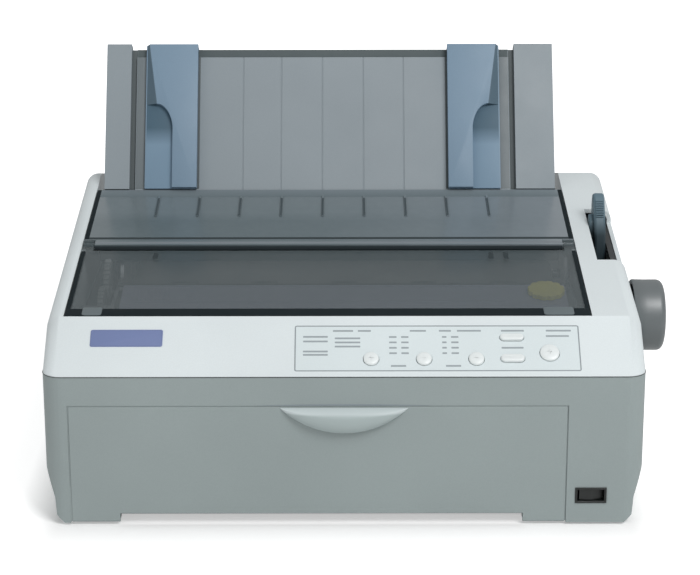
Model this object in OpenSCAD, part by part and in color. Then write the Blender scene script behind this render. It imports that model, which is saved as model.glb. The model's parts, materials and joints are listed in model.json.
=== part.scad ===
// Narrow-carriage dot matrix printer with two smoked top covers, a leaning sheet
// guide, a pull-down front door, a platen knob and the print mechanism inside.
// +X is the right side as seen by the user, +Y points to the back, +Z is up.
// The origin lies on the table, under the middle of the whole printer's box.

/* [Case] */
// Width of the case without the knob
case_w = 390; // [386:1:400]
// Depth of the case from front face to rear face
case_d = 342; // [338:1:352]
// Height of the line where the grey lower case meets the light upper case
split_h = 102.2; // [100:0.2:104]
// Horizontal run of the control slope
panel_run = 37.5; // [36:0.2:39]
// Angle of the control slope
panel_slope = 37.9; // [37:0.1:39]
// Angle at which the covers rise towards the back
cover_slope = 8.44; // [8:0.02:9]
// Distance of the crest of the side rails from the front face
crest_y = 281.5; // [275:0.5:290]
// Angle at which the rails fall behind the crest
rear_slope = 14.4; // [12:0.2:18]
// Wall thickness of both case shells
wall = 3; // [2.6:0.1:3.2]
// Radius of the upright corners of the case
corner_r = 13; // [10:1:14]
// Radius along the top edges of the side rails
edge_r = 9; // [6:0.5:10]
// Height at which the lower side bevel starts
bevel_top_h = 39; // [34:1:44]
// Height at which the lower side bevel ends
bevel_low_h = 19; // [15:1:24]
// How far the lower side bevel cuts in
bevel_in = 6; // [4:0.5:7]
// Height of the rubber feet under the case
foot_h = 1.5; // [1:0.1:2.5]
// Radius of a rubber foot
foot_r = 8; // [6:0.5:10]
// Sideways distance of the feet from the middle
foot_x = 150; // [130:1:160]
// Height of the top of the rear wall over the table
rear_wall_h = 126; // [122:0.5:127]

/* [Covers] */
// Left edge of the cover opening, from the middle of the case
open_left = 183.75; // [182.5:0.25:185]
// Right edge of the cover opening, from the middle of the case
open_right = 162.35; // [161.6:0.25:163.5]
// Thickness of the smoked covers
cover_t = 2.5; // [2.2:0.1:2.8]
// Gap round the covers
cover_gap = 0.6; // [0.4:0.1:0.8]
// Length of the front window flap
window_l = 103.6; // [102.5:0.1:104.5]
// Width of the paper exit slot between the two covers
slot_w = 7.6; // [7:0.1:8.2]
// Length of the rear cover
rear_cover_l = 101.9; // [101:0.1:102.4]
// Thickness of the upright walls round the cover opening
return_t = 2; // [1.6:0.1:2.4]
// Width of the ledge that the covers rest on
ledge_w = 2.6; // [2:0.1:3]
// Pitch of the short paper ribs
rib_pitch = 30.2; // [28:0.1:32]

/* [Front door] */
// Left edge of the door, from the middle of the case
door_left = 178; // [176:0.5:179]
// Right edge of the door, from the middle of the case
door_right = 144; // [141:0.5:146]
// Height of the top edge of the door
door_top_h = 82; // [78:0.5:86]
// Height of the raised bottom edge of the door
door_low_h = 8; // [7.6:0.1:10]
// Thickness of the door
door_t = 2.6; // [2.2:0.1:3]
// Gap round the door
door_gap = 0.8; // [0.6:0.1:1]
// How far the grip stands out of the door
grip_out = 8; // [6:0.5:9]
// Half of the width of the grip
grip_half = 41.5; // [36:0.5:46]
// Height of the grip
grip_h = 17; // [15:0.5:20]

/* [Paper guide] */
// Angle between the sheet guide and the upright
guide_lean = 28.5; // [26:0.5:30]
// Length of the sheet guide above the covers
guide_l = 112.8; // [105:0.2:118]
// Thickness of the sheet guide's plate
guide_t = 4; // [3.6:0.1:4.6]
// Thickness of the guide's side posts
post_t = 10; // [9:0.5:11]
// Width of one edge guide
edge_guide_w = 39; // [36:0.5:41]
// How far the rail of an edge guide stands proud
edge_rail_t = 6.2; // [5:0.1:7]

/* [Controls] */
// Radius of the three small buttons
button_r = 5; // [4.6:0.1:5.4]
// Radius of the large button
big_button_r = 6.3; // [6:0.1:6.8]
// How far a button stands out of the panel
button_out = 1.8; // [1.4:0.1:2.4]
// Travel of a button
button_travel = 1; // [0.8:0.1:1.1]
// Width of the power switch
switch_w = 20.6; // [19:0.2:22]
// Height of the power switch
switch_h = 10.8; // [10.4:0.1:11.6]

/* [Knob and lever] */
// Radius of the platen knob
knob_r = 24.5; // [22:0.5:25]
// How far the knob stands out of the case
knob_out = 24; // [23:0.5:26]
// Width of the blade of the release lever
lever_w = 8; // [7:0.2:8.4]

/* [Mechanism] */
// Radius of the platen roller
platen_r = 15; // [14.6:0.1:15.1]
// Distance from a side frame to the end of the platen roller
platen_inset = 10.5; // [8:0.5:14]
// Distance of the platen axis from the front face
platen_y = 107; // [106.8:0.1:108]
// Height of the platen axis
platen_z = 110; // [109.6:0.1:110.4]
// Radius of the platen shaft
shaft_r = 5; // [4.6:0.1:5.2]
// Half of the distance between the inner faces of the side frames
frame_half = 155.5; // [155:0.1:156]
// Thickness of the side frames
frame_t = 2.5; // [2:0.1:2.8]
// Radius of the rod that carries the print carriage
rod_r = 5; // [4.5:0.1:5.5]
// Distance of the carriage rod from the front face
rod_y = 62; // [61:0.5:62.5]
// Height of the carriage rod
rod_z = 84; // [83.6:0.1:84.4]
// Width of the carriage
carriage_w = 44; // [40:1:46]
// Thickness of the carriage drive belt
belt_t = 1.5; // [1.2:0.1:1.6]
// Radius of the belt pulleys
pulley_r = 8; // [7.8:0.1:8.2]
// Radius of the motor that drives the carriage
carriage_motor_r = 15; // [13:0.5:16]
// Gap between the carriage motor and the side frame
motor_side_gap = 0.5; // [0.4:0.1:2]
// Distance from a side frame to the end of the ribbon cartridge
cartridge_inset = 5.5; // [4:0.5:8]
// Radius of the ribbon knob
ribbon_knob_r = 12.5; // [11:0.5:13]
// Distance of the tractor shaft from the rear face
tractor_inset = 42; // [41:0.5:43]
// Height of the tractor shaft
tractor_z = 114; // [113:0.5:114.5]
// Radius of the tractor shaft
tractor_shaft_r = 4; // [3.6:0.1:4.2]
// Width of one tractor
tractor_w = 22; // [20:0.5:24]
// Outer radius of the platen gear
platen_gear_r = 20; // [19.5:0.1:20.2]
// Outer radius of the reduction gear
reduction_gear_r = 16; // [15:0.1:16.4]
// Outer radius of the motor pinion
pinion_r = 5; // [4.5:0.1:5.5]
// Outer radius of the tractor gear
tractor_gear_r = 14; // [13.5:0.1:14.3]

/* [Clearances] */
// Radial running fit of shafts and pins
fit = 0.05; // [0.02:0.01:0.08]
// Gap between pieces that move past each other
gap = 0.3; // [0.3:0.02:0.36]

/* [Hidden] */
$fn = 48;

// Colours of the pieces
case_grey = "#929f9f";
case_light = "#dbe3e5";
smoke = "#5a666a";
guide_grey = "#8c989b";
guide_blue = "#7890a2";
steel = "#a9adb0";
black = "#25282a";
dark_grey = "#33383b";
button_white = "#e9eeee";
acetal = "#d8d6c8";
board_green = "#2f6b45";
dull_metal = "#8d9194";
bright_steel = "#c6cacd";

big = 500;
half_w = case_w / 2;
panel_top_z = split_h + panel_run * tan(panel_slope);
crest_z = panel_top_z + (crest_y - panel_run) * tan(cover_slope);
frame_out = frame_half + frame_t;
platen_l = 2 * (frame_half - platen_inset);
pulley_half = frame_half - carriage_motor_r - motor_side_gap;
cartridge_half = frame_half - cartridge_inset;
tractor_y = case_d - tractor_inset;
// Front and rear edges of the side frames and rear edge of the base plate
frame_y0 = 44;
frame_y1 = case_d - 10;
base_y1 = frame_y1 - 92;

function cover_z(y) = panel_top_z + (y - panel_run) * tan(cover_slope);

// Frames of reference ------------------------------------------------------------
// The case frame has its zero in the middle of the front face, on the table.
module place() {
    translate([-knob_out / 2, -(case_d - grip_out) / 2, 0]) children();
}

// Frame on the control slope: y climbs the slope, z points out of it.
module on_panel() {
    translate([0, 0, split_h]) rotate([panel_slope, 0, 0]) children();
}

// Frame on the covers: y climbs the covers from the control slope, z points out.
module on_cover() {
    translate([0, panel_run, panel_top_z]) rotate([cover_slope, 0, 0]) children();
}

// Shape helpers ---------------------------------------------------------------------
module rounded_square(w, d, r) {
    union() {
        square([w - 2 * r, d], center = true);
        square([w, d - 2 * r], center = true);
        for (x = [-1, 1], y = [-1, 1])
            translate([x * (w / 2 - r), y * (d / 2 - r)]) circle(r);
    }
}

module slot_2d(w, h) {
    union() {
        square([w - h, h], center = true);
        for (x = [-1, 1]) translate([x * (w - h) / 2, 0]) circle(h / 2);
    }
}

// Cylinder along X between two values of x.
module rod_x(x0, x1, y, z, r) {
    translate([x0, y, z]) rotate([0, 90, 0]) cylinder(h = x1 - x0, r = r);
}

// Cylinder along Y between two values of y.
module rod_y_dir(y0, y1, x, z, r) {
    translate([x, y0, z]) rotate([-90, 0, 0]) cylinder(h = y1 - y0, r = r);
}

// Side outline in y and z, made solid between two values of x.
module plate_x(x0, x1, points) {
    translate([x0, 0, 0]) rotate([90, 0, 90]) linear_extrude(x1 - x0) polygon(points);
}

module box(x0, x1, y0, y1, z0, z1) {
    translate([x0, y0, z0]) cube([x1 - x0, y1 - y0, z1 - z0]);
}

// Outline of a spur gear with low, square-topped teeth.
function gear_points(r, teeth, tooth_h) = [for (i = [0 : teeth - 1]) for (k = [0 : 3])
    let (a = (i + [-0.25, -0.2, 0.2, 0.25][k]) * 360 / teeth,
        d = (k == 1 || k == 2) ? r : r - tooth_h)
    [d * cos(a), d * sin(a)]];

// Spur gear around the x axis.
module spur(x0, x1, y, z, r, teeth, bore) {
    tooth_h = 1.2;
    translate([x0, y, z]) rotate([90, 0, 90])
        difference() {
            linear_extrude(x1 - x0) polygon(gear_points(r, teeth, tooth_h));
            translate([0, 0, -1]) cylinder(h = x1 - x0 + 2, r = bore);
        }
}

// The case's outer form -------------------------------------------------------------
// Upright prism of the ground plan.
module plan_prism(inset) {
    translate([0, case_d / 2, 0])
        linear_extrude(big)
            rounded_square(case_w - 2 * inset, case_d - 2 * inset, corner_r - inset);
}

// Prism along y with the bevelled lower sides.
module bevel_prism(inset) {
    edge = half_w - inset;
    low = foot_h + inset;
    translate([0, big, 0])
        rotate([90, 0, 0])
            linear_extrude(2 * big)
                polygon([[-edge + bevel_in + 6, low], [edge - bevel_in - 6, low],
                    [edge - bevel_in - 1, low + 5], [edge - bevel_in, bevel_low_h],
                    [edge, bevel_top_h], [edge, big], [-edge, big],
                    [-edge, bevel_top_h], [-edge + bevel_in, bevel_low_h],
                    [-edge + bevel_in + 1, low + 5]]);
}

// Prism under one sloped top plane, with rounded upper side edges.
module roof_prism(y, z, slope, inset) {
    r = edge_r - inset;
    edge = half_w - inset;
    translate([0, y, z])
        rotate([slope, 0, 0])
            translate([0, big, -inset])
                rotate([90, 0, 0])
                    linear_extrude(2 * big)
                        union() {
                            translate([-edge, -big]) square([2 * edge, big - r]);
                            translate([-edge + r, -big]) square([2 * (edge - r), big]);
                            for (x = [-1, 1]) translate([x * (edge - r), -r]) circle(r);
                        }
}

module case_form(inset) {
    intersection() {
        plan_prism(inset);
        bevel_prism(inset);
        roof_prism(0, split_h, panel_slope, inset);
        roof_prism(panel_run, panel_top_z, cover_slope, inset);
        roof_prism(crest_y, crest_z, -rear_slope, inset);
    }
}

// Front door opening and its hinge
door_hinge_y = 5.5;
door_hinge_z = 7.4;
door_pin_r = 2;
floor_front = door_hinge_y + door_hinge_z + 2.4;
door_frame_d = 20;

// Power switch place
switch_x = half_w - 34.3;
switch_z = 20.6;
switch_d = 14;
bezel = 0.4;
bezel_t = 0.6;

// Rear sockets
inlet_x = 112;
inlet_z = 34;
inlet_w = 27;
inlet_h = 19.8;
ports_x = -92;
ports_z = 36;
ports_w = 104;
ports_h = 26;

// Screw posts inside the case
screw_r = 1.5;
screw_head_r = 2.9;
screw_head_h = 2.4;
screw_sink = 3;
post_r = 4;
screw_x = half_w - 16;
upper_post_h = 12;
screw_y = [34, case_d - 24];
stand_r = 4;
stand_x = frame_half - 9.5;
stand_y = [frame_y0 + 12, base_y1 - 14];
base_z = 8;
base_t = 2;

module door_opening() {
    box(-door_left - door_gap, door_right + door_gap, -1, floor_front,
        -1, door_top_h + door_gap);
}

module lower_case() {
    color(case_grey) place() {
        difference() {
            union() {
                intersection() {
                    difference() {
                        case_form(0);
                        case_form(wall);
                    }
                    box(-big, big, -big, big, 0, split_h);
                }
                // walls that frame the door opening
                for (x = [-door_left - door_gap - return_t, door_right + door_gap])
                    box(x, x + return_t, wall / 2, door_frame_d, foot_h + 0.3, door_top_h + 6);
                box(-door_left - door_gap - return_t, door_right + door_gap + return_t,
                    wall / 2, 12, door_top_h + door_gap, door_top_h + door_gap + return_t);
                // front lip of the floor
                box(-door_left - door_gap, door_right + door_gap, floor_front,
                    floor_front + return_t, foot_h, door_low_h);
                // posts for the case screws
                for (x = [-screw_x, screw_x], y = screw_y)
                    translate([x, y, foot_h + 1]) cylinder(h = split_h - foot_h - 1, r = post_r);
                // posts that carry the mechanism
                for (x = [-stand_x, stand_x], y = stand_y)
                    translate([x, y, foot_h + 1]) cylinder(h = base_z - foot_h - 1, r = stand_r);
            }
            door_opening();
            // pin holes of the door
            rod_x(-door_left - 8, -door_left + 1, door_hinge_y, door_hinge_z, door_pin_r + fit);
            rod_x(door_right - 1, door_right + 8, door_hinge_y, door_hinge_z, door_pin_r + fit);
            // power switch
            box(switch_x - switch_w / 2 + bezel, switch_x + switch_w / 2 - bezel, -1, wall + 1,
                switch_z - switch_h / 2 + bezel, switch_z + switch_h / 2 - bezel);
            // rear sockets
            box(inlet_x - inlet_w / 2, inlet_x + inlet_w / 2, case_d - wall - 1, case_d + 1,
                inlet_z - inlet_h / 2, inlet_z + inlet_h / 2);
            box(ports_x - ports_w / 2, ports_x + ports_w / 2, case_d - wall - 1, case_d + 1,
                ports_z - ports_h / 2, ports_z + ports_h / 2);
            // screw holes
            for (x = [-screw_x, screw_x], y = screw_y)
                translate([x, y, -1]) {
                    cylinder(h = big, r = screw_r);
                    cylinder(h = foot_h + screw_sink + 1, r = screw_head_r + 0.1);
                }
            // vent slots in the rear wall
            for (i = [0 : 8])
                box(-24 + i * 9, -20 + i * 9, case_d - wall - 1, case_d + 1, 60, 90);
        }
    }
}

// Ends of the covers along the cover plane, and the knuckles between them
window_y0 = cover_gap;
window_y1 = window_y0 + window_l;
rear_y0 = window_y1 + slot_w;
rear_y1 = rear_y0 + rear_cover_l;
knuckle_r = 3.4;
knuckle_y = rear_y0 + knuckle_r + 1.1;

// Joints of the covers and the guide
hinge_pin_r = 2.5;
rear_hinge_y = 240;
rear_hinge_drop = 5.3;
rear_hinge_z = cover_z(rear_hinge_y) - rear_hinge_drop;
pin_reach = return_t - 0.25;
guide_y = 250;
guide_z = cover_z(guide_y);
guide_pivot_y = 258;
guide_pivot_z = 153;

// Notch of the release lever in the right rail
notch_x = half_w - 20;
notch_y0 = 124.6;
notch_y1 = 212;
notch_deep = 11;
lever_x = half_w - 12.4;
lever_y = 180;
lever_z = 118;
lever_pin_r = 3;

// Inset control panel, measured along the slope
inset_x0 = -31.4;
inset_x1 = 152;
inset_y0 = 5.2;
inset_y1 = 39.3;
inset_t = 1.5;
inset_gap = 0.3;
board_drop = 9.4;
board_t = 1.6;
board_y0 = 8;
board_y1 = inset_y1 - 4.6;
board_post_r = 3;
// Centres of the buttons on the slope
round_x = [17.4, 51.6, 85.4];
round_y = 13.9;
oblong_x = 108.8;
oblong_w = 15.5;
oblong_upper_y = 30.4;
oblong_lower_y = 14.2;
oblong_upper_h = 5.2;
oblong_lower_h = 6;
large_x = 132.8;
large_y = 18.4;
stem_r = 2;

module button_holes(clear, depth) {
    translate([0, 0, -depth]) {
        for (x = round_x)
            translate([x, round_y, 0]) cylinder(h = depth + 1, r = button_r + clear);
        translate([oblong_x, oblong_upper_y, 0]) linear_extrude(depth + 1)
            slot_2d(oblong_w + 2 * clear, oblong_upper_h + 2 * clear);
        translate([oblong_x, oblong_lower_y, 0]) linear_extrude(depth + 1)
            slot_2d(oblong_w + 2 * clear, oblong_lower_h + 2 * clear);
        translate([large_x, large_y, 0]) cylinder(h = depth + 1, r = big_button_r + clear);
    }
}

// Stretches of the ledges, as their ends along the covers.
ledge_break = knuckle_r + cover_gap;
ledge_spans = [[0, knuckle_y - ledge_break], [knuckle_y + ledge_break, rear_y1 - 16.6]];

module board_corners() {
    for (x = [inset_x0 + 8, inset_x1 - 8], y = [board_y0 + 4, board_y1 - 4])
        translate([x, y, 0]) children();
}

module upper_case() {
    color(case_light) place() {
        difference() {
            union() {
                difference() {
                    intersection() {
                        difference() {
                            case_form(0);
                            case_form(wall);
                        }
                        box(-big, big, -big, big, split_h, big);
                    }
                    // opening for the covers and for paper from the back
                    box(-open_left, open_right, panel_run, case_d + 1, rear_wall_h, big);
                }
                // upright walls on both sides and in front of the opening
                intersection() {
                    case_form(wall / 2);
                    union() {
                        box(-open_left - return_t, -open_left, panel_run - return_t,
                            case_d - wall / 2, split_h, big);
                        box(open_right, open_right + return_t, panel_run - return_t,
                            case_d - wall / 2, split_h, big);
                        box(-open_left, open_right, panel_run - return_t, panel_run,
                            split_h + 12, big);
                    }
                }
                // ledges that the covers rest on, broken at the knuckles
                on_cover() for (x = [-open_left - 1, open_right - ledge_w], span = ledge_spans)
                    translate([x, span[0], -cover_t - gap - return_t])
                        cube([ledge_w + 1, span[1] - span[0], return_t]);
                // posts that carry the control board
                on_panel() board_corners()
                    translate([0, 0, -board_drop]) cylinder(h = board_drop - wall / 2 - inset_t / 2,
                        r = board_post_r);
                // posts for the case screws, with a rib to the side wall
                for (side = [-1, 1], y = screw_y) {
                    translate([side * screw_x, y, split_h]) cylinder(h = upper_post_h, r = post_r);
                    translate([side > 0 ? screw_x : -half_w + wall - 0.5, y - 1, split_h])
                        cube([half_w - wall + 0.5 - screw_x, 2, upper_post_h]);
                }
                // bearing boss of the release shaft
                rod_x(half_w - wall - 5, half_w - wall / 2, lever_y, lever_z, 7);
            }
            // seat of the control panel and the holes of its buttons
            on_panel() {
                translate([inset_x0 - inset_gap, inset_y0 - inset_gap, -inset_t])
                    cube([inset_x1 - inset_x0 + 2 * inset_gap,
                        inset_y1 - inset_y0 + 2 * inset_gap, 10]);
                button_holes(gap + 0.2, wall + 4);
            }
            // hinge bores
            for (x = [-open_left - return_t - 1, open_right - 1]) {
                rod_x(x, x + return_t + 2, rear_hinge_y, rear_hinge_z, hinge_pin_r + fit);
                rod_x(x, x + return_t + 2, guide_pivot_y, guide_pivot_z, hinge_pin_r + fit);
            }
            // platen shaft and release shaft
            rod_x(open_right - 1, half_w + 1, platen_y, platen_z, shaft_r + 1.5);
            rod_x(open_right - 1, open_right + return_t + 1, lever_y, lever_z, lever_pin_r + 0.5);
            rod_x(half_w - wall - 6, half_w - wall, lever_y, lever_z, lever_pin_r + fit);
            // notch of the release lever, open to the side
            on_cover() translate([notch_x, (notch_y0 - panel_run) / cos(cover_slope), -notch_deep])
                cube([60, (notch_y1 - notch_y0) / cos(cover_slope), 60]);
            // screw holes
            for (x = [-screw_x, screw_x], y = screw_y)
                translate([x, y, split_h - 1]) cylinder(h = upper_post_h, r = screw_r);
        }
    }
}

module rubber_feet() {
    color(black) place()
        for (x = [-foot_x, foot_x], y = [floor_front + return_t + foot_r + 6, case_d - 32])
            translate([x, y, 0]) cylinder(h = foot_h, r = foot_r);
}

module case_screws() {
    color(steel) place()
        for (x = [-screw_x, screw_x], y = screw_y)
            translate([x, y, foot_h + screw_sink - screw_head_h]) {
                cylinder(h = screw_head_h, r = screw_head_r);
                cylinder(h = split_h + upper_post_h - foot_h - 4, r = screw_r);
            }
}

// Front door ------------------------------------------------------------------------
door_rim = 8;
door_leg_left = 31.5;
door_leg_right = 27.4;
door_leg_low = 1.8;
door_swing_r = 7.1;
grip_top = door_top_h - 0.7;
grip_big_r = (grip_half * grip_half + grip_h * grip_h) / (2 * grip_h);
grip_taper = 1.5;

// Cone whose lower part is the bulge of the grip.
module grip_cone(r, y0, depth) {
    translate([0, y0, grip_top - grip_h + grip_big_r])
        rotate([90, 0, 0]) cylinder(h = depth, r1 = r, r2 = r - grip_taper * depth);
}

module front_door() {
    color(case_grey) place()
        union() {
            box(-door_left, door_right, 0, door_t, door_low_h, door_top_h);
            // rim round the inside of the panel
            for (x = [-door_left, door_right - 2])
                box(x, x + 2, 0, door_rim, door_hinge_z + 5, door_top_h);
            box(-door_left, door_right, 0, door_rim, door_top_h - 2, door_top_h);
            // legs with the hinge barrels
            intersection() {
                union() {
                    box(-door_left, -door_left + door_leg_left, 0, door_t,
                        door_leg_low, door_low_h + 4);
                    box(door_right - door_leg_right, door_right, 0, door_t,
                        door_leg_low, door_low_h + 4);
                }
                union() {
                    rod_x(-big, big, door_hinge_y, door_hinge_z, door_swing_r);
                    box(-big, big, -1, door_t + 1, door_hinge_z, big);
                }
            }
            rod_x(-door_left, -door_left + door_leg_left, door_hinge_y, door_hinge_z, 4.5);
            rod_x(door_right - door_leg_right, door_right, door_hinge_y, door_hinge_z, 4.5);
            // hinge pins
            rod_x(-door_left - door_gap - pin_reach, -door_left + 1,
                door_hinge_y, door_hinge_z, door_pin_r);
            rod_x(door_right - 1, door_right + door_gap + pin_reach,
                door_hinge_y, door_hinge_z, door_pin_r);
            // grip that stands out of the panel
            intersection() {
                grip_cone(grip_big_r, 0, grip_out);
                box(-big, big, -grip_out, 0, 0, grip_top);
            }
        }
}

// Covers ------------------------------------------------------------------------------
cover_left = open_left - cover_gap;
cover_right = open_right - cover_gap;
knuckle_w = 7.6;
notch_w = knuckle_w + 2 * gap;
knuckle_pin_r = 1.5;
bead_w = 9.4;
bead_h = 1;

// Places of the two window knuckles, as the x of their left ends.
knuckle_x = [-cover_left + gap, cover_right - gap - knuckle_w];

module cover_window() {
    color(smoke) place() on_cover() {
        difference() {
            union() {
                translate([-cover_left, window_y0, -cover_t])
                    cube([cover_left + cover_right, window_l, cover_t]);
                // knuckles and their arms
                for (x = knuckle_x) {
                    rod_x(x, x + knuckle_w, knuckle_y, -cover_t / 2, knuckle_r);
                    translate([x, window_y1 - 1, -cover_t])
                        cube([knuckle_w, knuckle_y - window_y1 + 1, cover_t]);
                }
            }
            for (x = knuckle_x)
                rod_x(x - 1, x + knuckle_w + 1, knuckle_y, -cover_t / 2, knuckle_pin_r + fit);
        }
    }
}

rib_count = 9;
rib_mid = -15.5;
rib_y0 = 163.3;
rib_l = 37.5;
rib_w = 1.6;
rib_h = 1;
barrel_r = 4;
barrel_w = 8;

module rear_cover() {
    color(smoke) place() {
        on_cover() {
            difference() {
                union() {
                    translate([-cover_left, rear_y0, -cover_t])
                        cube([cover_left + cover_right, rear_cover_l, cover_t]);
                    // bead along the front edge
                    translate([-cover_left, rear_y0, -cover_t])
                        cube([cover_left + cover_right, bead_w, cover_t + bead_h]);
                    // short paper ribs
                    for (i = [0 : rib_count - 1])
                        translate([rib_mid + (i - (rib_count - 1) / 2) * rib_pitch - rib_w / 2,
                            rib_y0, -0.5])
                            cube([rib_w, rib_l, rib_h + 0.5]);
                }
                // notches for the window's knuckles
                translate([-cover_left - 1, rear_y0 - 1, -5]) cube([notch_w + 1, bead_w, 10]);
                translate([cover_right - notch_w, rear_y0 - 1, -5]) cube([notch_w + 1, bead_w, 10]);
            }
            // pins that carry the window
            rod_x(knuckle_x[0] + 0.5, -cover_left + notch_w + 1, knuckle_y, -cover_t / 2,
                knuckle_pin_r);
            rod_x(cover_right - notch_w - 1, knuckle_x[1] + knuckle_w - 0.5, knuckle_y,
                -cover_t / 2, knuckle_pin_r);
        }
        // barrels and pins of the rear hinge
        rod_x(-cover_left, -cover_left + barrel_w, rear_hinge_y, rear_hinge_z, barrel_r);
        rod_x(cover_right - barrel_w, cover_right, rear_hinge_y, rear_hinge_z, barrel_r);
        rod_x(-open_left - pin_reach, -cover_left + 1, rear_hinge_y, rear_hinge_z, hinge_pin_r);
        rod_x(cover_right - 1, open_right + pin_reach, rear_hinge_y, rear_hinge_z, hinge_pin_r);
    }
}

// Sheet guide -------------------------------------------------------------------------
guide_x0 = -open_left + 5.35;
guide_x1 = open_right - 5.15;
post_left_w = 18.6;
post_right_w = 29;
groove_w = 4;
plate_front = 1;
post_front = -1;
plate_low = -1;
post_low = 0;
plate_top = guide_l - 3.5;
top_band = 6.3;
guide_arm_r = 5;
guide_arm_w = 9;
line_x = [-75.5, -46.9, -16.1, 14.7, 44.8];

// Frame of the sheet guide: z climbs the guide, y points out of its back.
module on_guide() {
    translate([0, guide_y, guide_z]) rotate([-guide_lean, 0, 0]) children();
}

// Pivot of the guide in the guide's own frame
pivot_dy = guide_pivot_y - guide_y;
pivot_dz = guide_pivot_z - guide_z;
pivot_back = pivot_dy * cos(guide_lean) - pivot_dz * sin(guide_lean);
pivot_up = pivot_dy * sin(guide_lean) + pivot_dz * cos(guide_lean);

module paper_guide() {
    plate_back = plate_front + guide_t;
    plate_x0 = guide_x0 + post_left_w + groove_w;
    plate_x1 = guide_x1 - post_right_w - groove_w;
    color(guide_grey) place() {
        on_guide() {
            difference() {
                union() {
                    // plate, thinner in the grooves beside the posts
                    box(guide_x0 + 2, guide_x1 - 2, plate_front + 2, plate_back,
                        plate_low, plate_top);
                    box(plate_x0, plate_x1, plate_front, plate_back, plate_low, plate_top);
                    // side posts
                    box(guide_x0, guide_x0 + post_left_w, post_front, post_front + post_t,
                        post_low, guide_l);
                    box(guide_x1 - post_right_w, guide_x1, post_front, post_front + post_t,
                        post_low, guide_l);
                    // arms down to the pivot
                    for (x = [guide_x0, guide_x1 - guide_arm_w])
                        box(x + 0.5, x + guide_arm_w - 0.5, post_front + 6,
                            pivot_back + guide_arm_r - 1, pivot_up, post_low + 6);
                }
                // set-back band along the top edge
                box(plate_x0 - 1, plate_x1 + 1, plate_front - 1, plate_front + 1.2,
                    plate_top - top_band, guide_l + 1);
                // fine upright grooves
                for (x = line_x)
                    box(x - 0.4, x + 0.4, plate_front - 1, plate_front + 0.4, plate_low - 1,
                        plate_top);
            }
        }
        for (x = [guide_x0, guide_x1 - guide_arm_w])
            rod_x(x, x + guide_arm_w, guide_pivot_y, guide_pivot_z, guide_arm_r);
        rod_x(-open_left - pin_reach, guide_x0 + 1, guide_pivot_y, guide_pivot_z, hinge_pin_r);
        rod_x(guide_x1 - 1, open_right + pin_reach, guide_pivot_y, guide_pivot_z, hinge_pin_r);
    }
}

edge_base_t = 2.6;
edge_left_x = guide_x0 + 29.9;
edge_right_x = guide_x1 - 40.4;
rail_w = 18.5;
shoulder_low = 51.8;
shoulder_high = 69.7;
hook_t = 2;
hook_l = 12;

// Edge guide with its outer side at x = 0 and its rail towards +x.
module edge_guide() {
    back = plate_front - gap;
    front = back - edge_base_t;
    rail_front = front - edge_rail_t + edge_base_t;
    top = guide_l + 0.3;
    box(0, edge_guide_w, front, back, 0, top);
    // rail that widens into a head over a rounded shoulder
    translate([0, back, 0])
        rotate([90, 0, 0])
            linear_extrude(back - rail_front)
                union() {
                    translate([edge_guide_w - rail_w, 0]) square([rail_w, top]);
                    translate([2, shoulder_high]) square([edge_guide_w - 3, top - shoulder_high]);
                    difference() {
                        translate([2, shoulder_low])
                            square([edge_guide_w - rail_w, shoulder_high - shoulder_low]);
                        translate([2, shoulder_low]) circle(edge_guide_w - rail_w - 2);
                    }
                }
    // hook over the top edge of the guide
    hook_front = plate_front + guide_t + gap;
    box(0, edge_guide_w, rail_front, hook_front + hook_t, plate_top + gap, top);
    box(0, edge_guide_w, hook_front, hook_front + hook_t, plate_top - hook_l, top);
}

module edge_guide_left() {
    color(guide_blue) place() on_guide() translate([edge_left_x, 0, 0]) edge_guide();
}

module edge_guide_right() {
    color(guide_blue) place() on_guide() translate([edge_right_x, 0, 0]) mirror([1, 0, 0])
        edge_guide();
}

// Controls ------------------------------------------------------------------------------
module control_panel() {
    color("#e3eaea") place() on_panel()
        difference() {
            translate([inset_x0, inset_y0, -inset_t])
                cube([inset_x1 - inset_x0, inset_y1 - inset_y0, inset_t]);
            button_holes(gap, inset_t + 1);
        }
}

module control_board() {
    color(board_green) place() on_panel() {
        translate([inset_x0 + 4, board_y0, -board_drop - board_t])
            cube([inset_x1 - inset_x0 - 8, board_y1 - board_y0, board_t]);
        // small push switches
        for (p = button_places())
            translate([p[0] - 3, p[1] - 3, -board_drop]) cube([6, 6, 0.5]);
    }
}

function button_places() = [for (x = round_x) [x, round_y],
    [oblong_x, oblong_upper_y], [oblong_x, oblong_lower_y], [large_x, large_y]];

stem_end = board_drop - 0.5 - button_travel - gap;

module button_stem(p) {
    translate([p[0], p[1], -stem_end]) cylinder(h = stem_end, r = stem_r);
}

module round_button(p, r) {
    button_stem(p);
    translate([p[0], p[1], -inset_t]) {
        cylinder(h = inset_t + button_out - 0.6, r = r);
        translate([0, 0, inset_t + button_out - 0.6]) cylinder(h = 0.6, r1 = r, r2 = r - 0.6);
    }
}

module oblong_button(p, h) {
    button_stem(p);
    translate([p[0], p[1], -inset_t]) linear_extrude(inset_t + button_out) slot_2d(oblong_w, h);
}

module button_round_1() {
    color(button_white) place() on_panel() round_button(button_places()[0], button_r);
}

module button_round_2() {
    color(button_white) place() on_panel() round_button(button_places()[1], button_r);
}

module button_round_3() {
    color(button_white) place() on_panel() round_button(button_places()[2], button_r);
}

module button_oblong_upper() {
    color(button_white) place() on_panel() oblong_button(button_places()[3], oblong_upper_h);
}

module button_oblong_lower() {
    color(button_white) place() on_panel() oblong_button(button_places()[4], oblong_lower_h);
}

module button_large() {
    color(button_white) place() on_panel() round_button(button_places()[5], big_button_r);
}

badge_x = -141.3;
badge_y = 30.2;
badge_w = 47;
badge_h = 13.2;
badge_t = 0.5;

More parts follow.
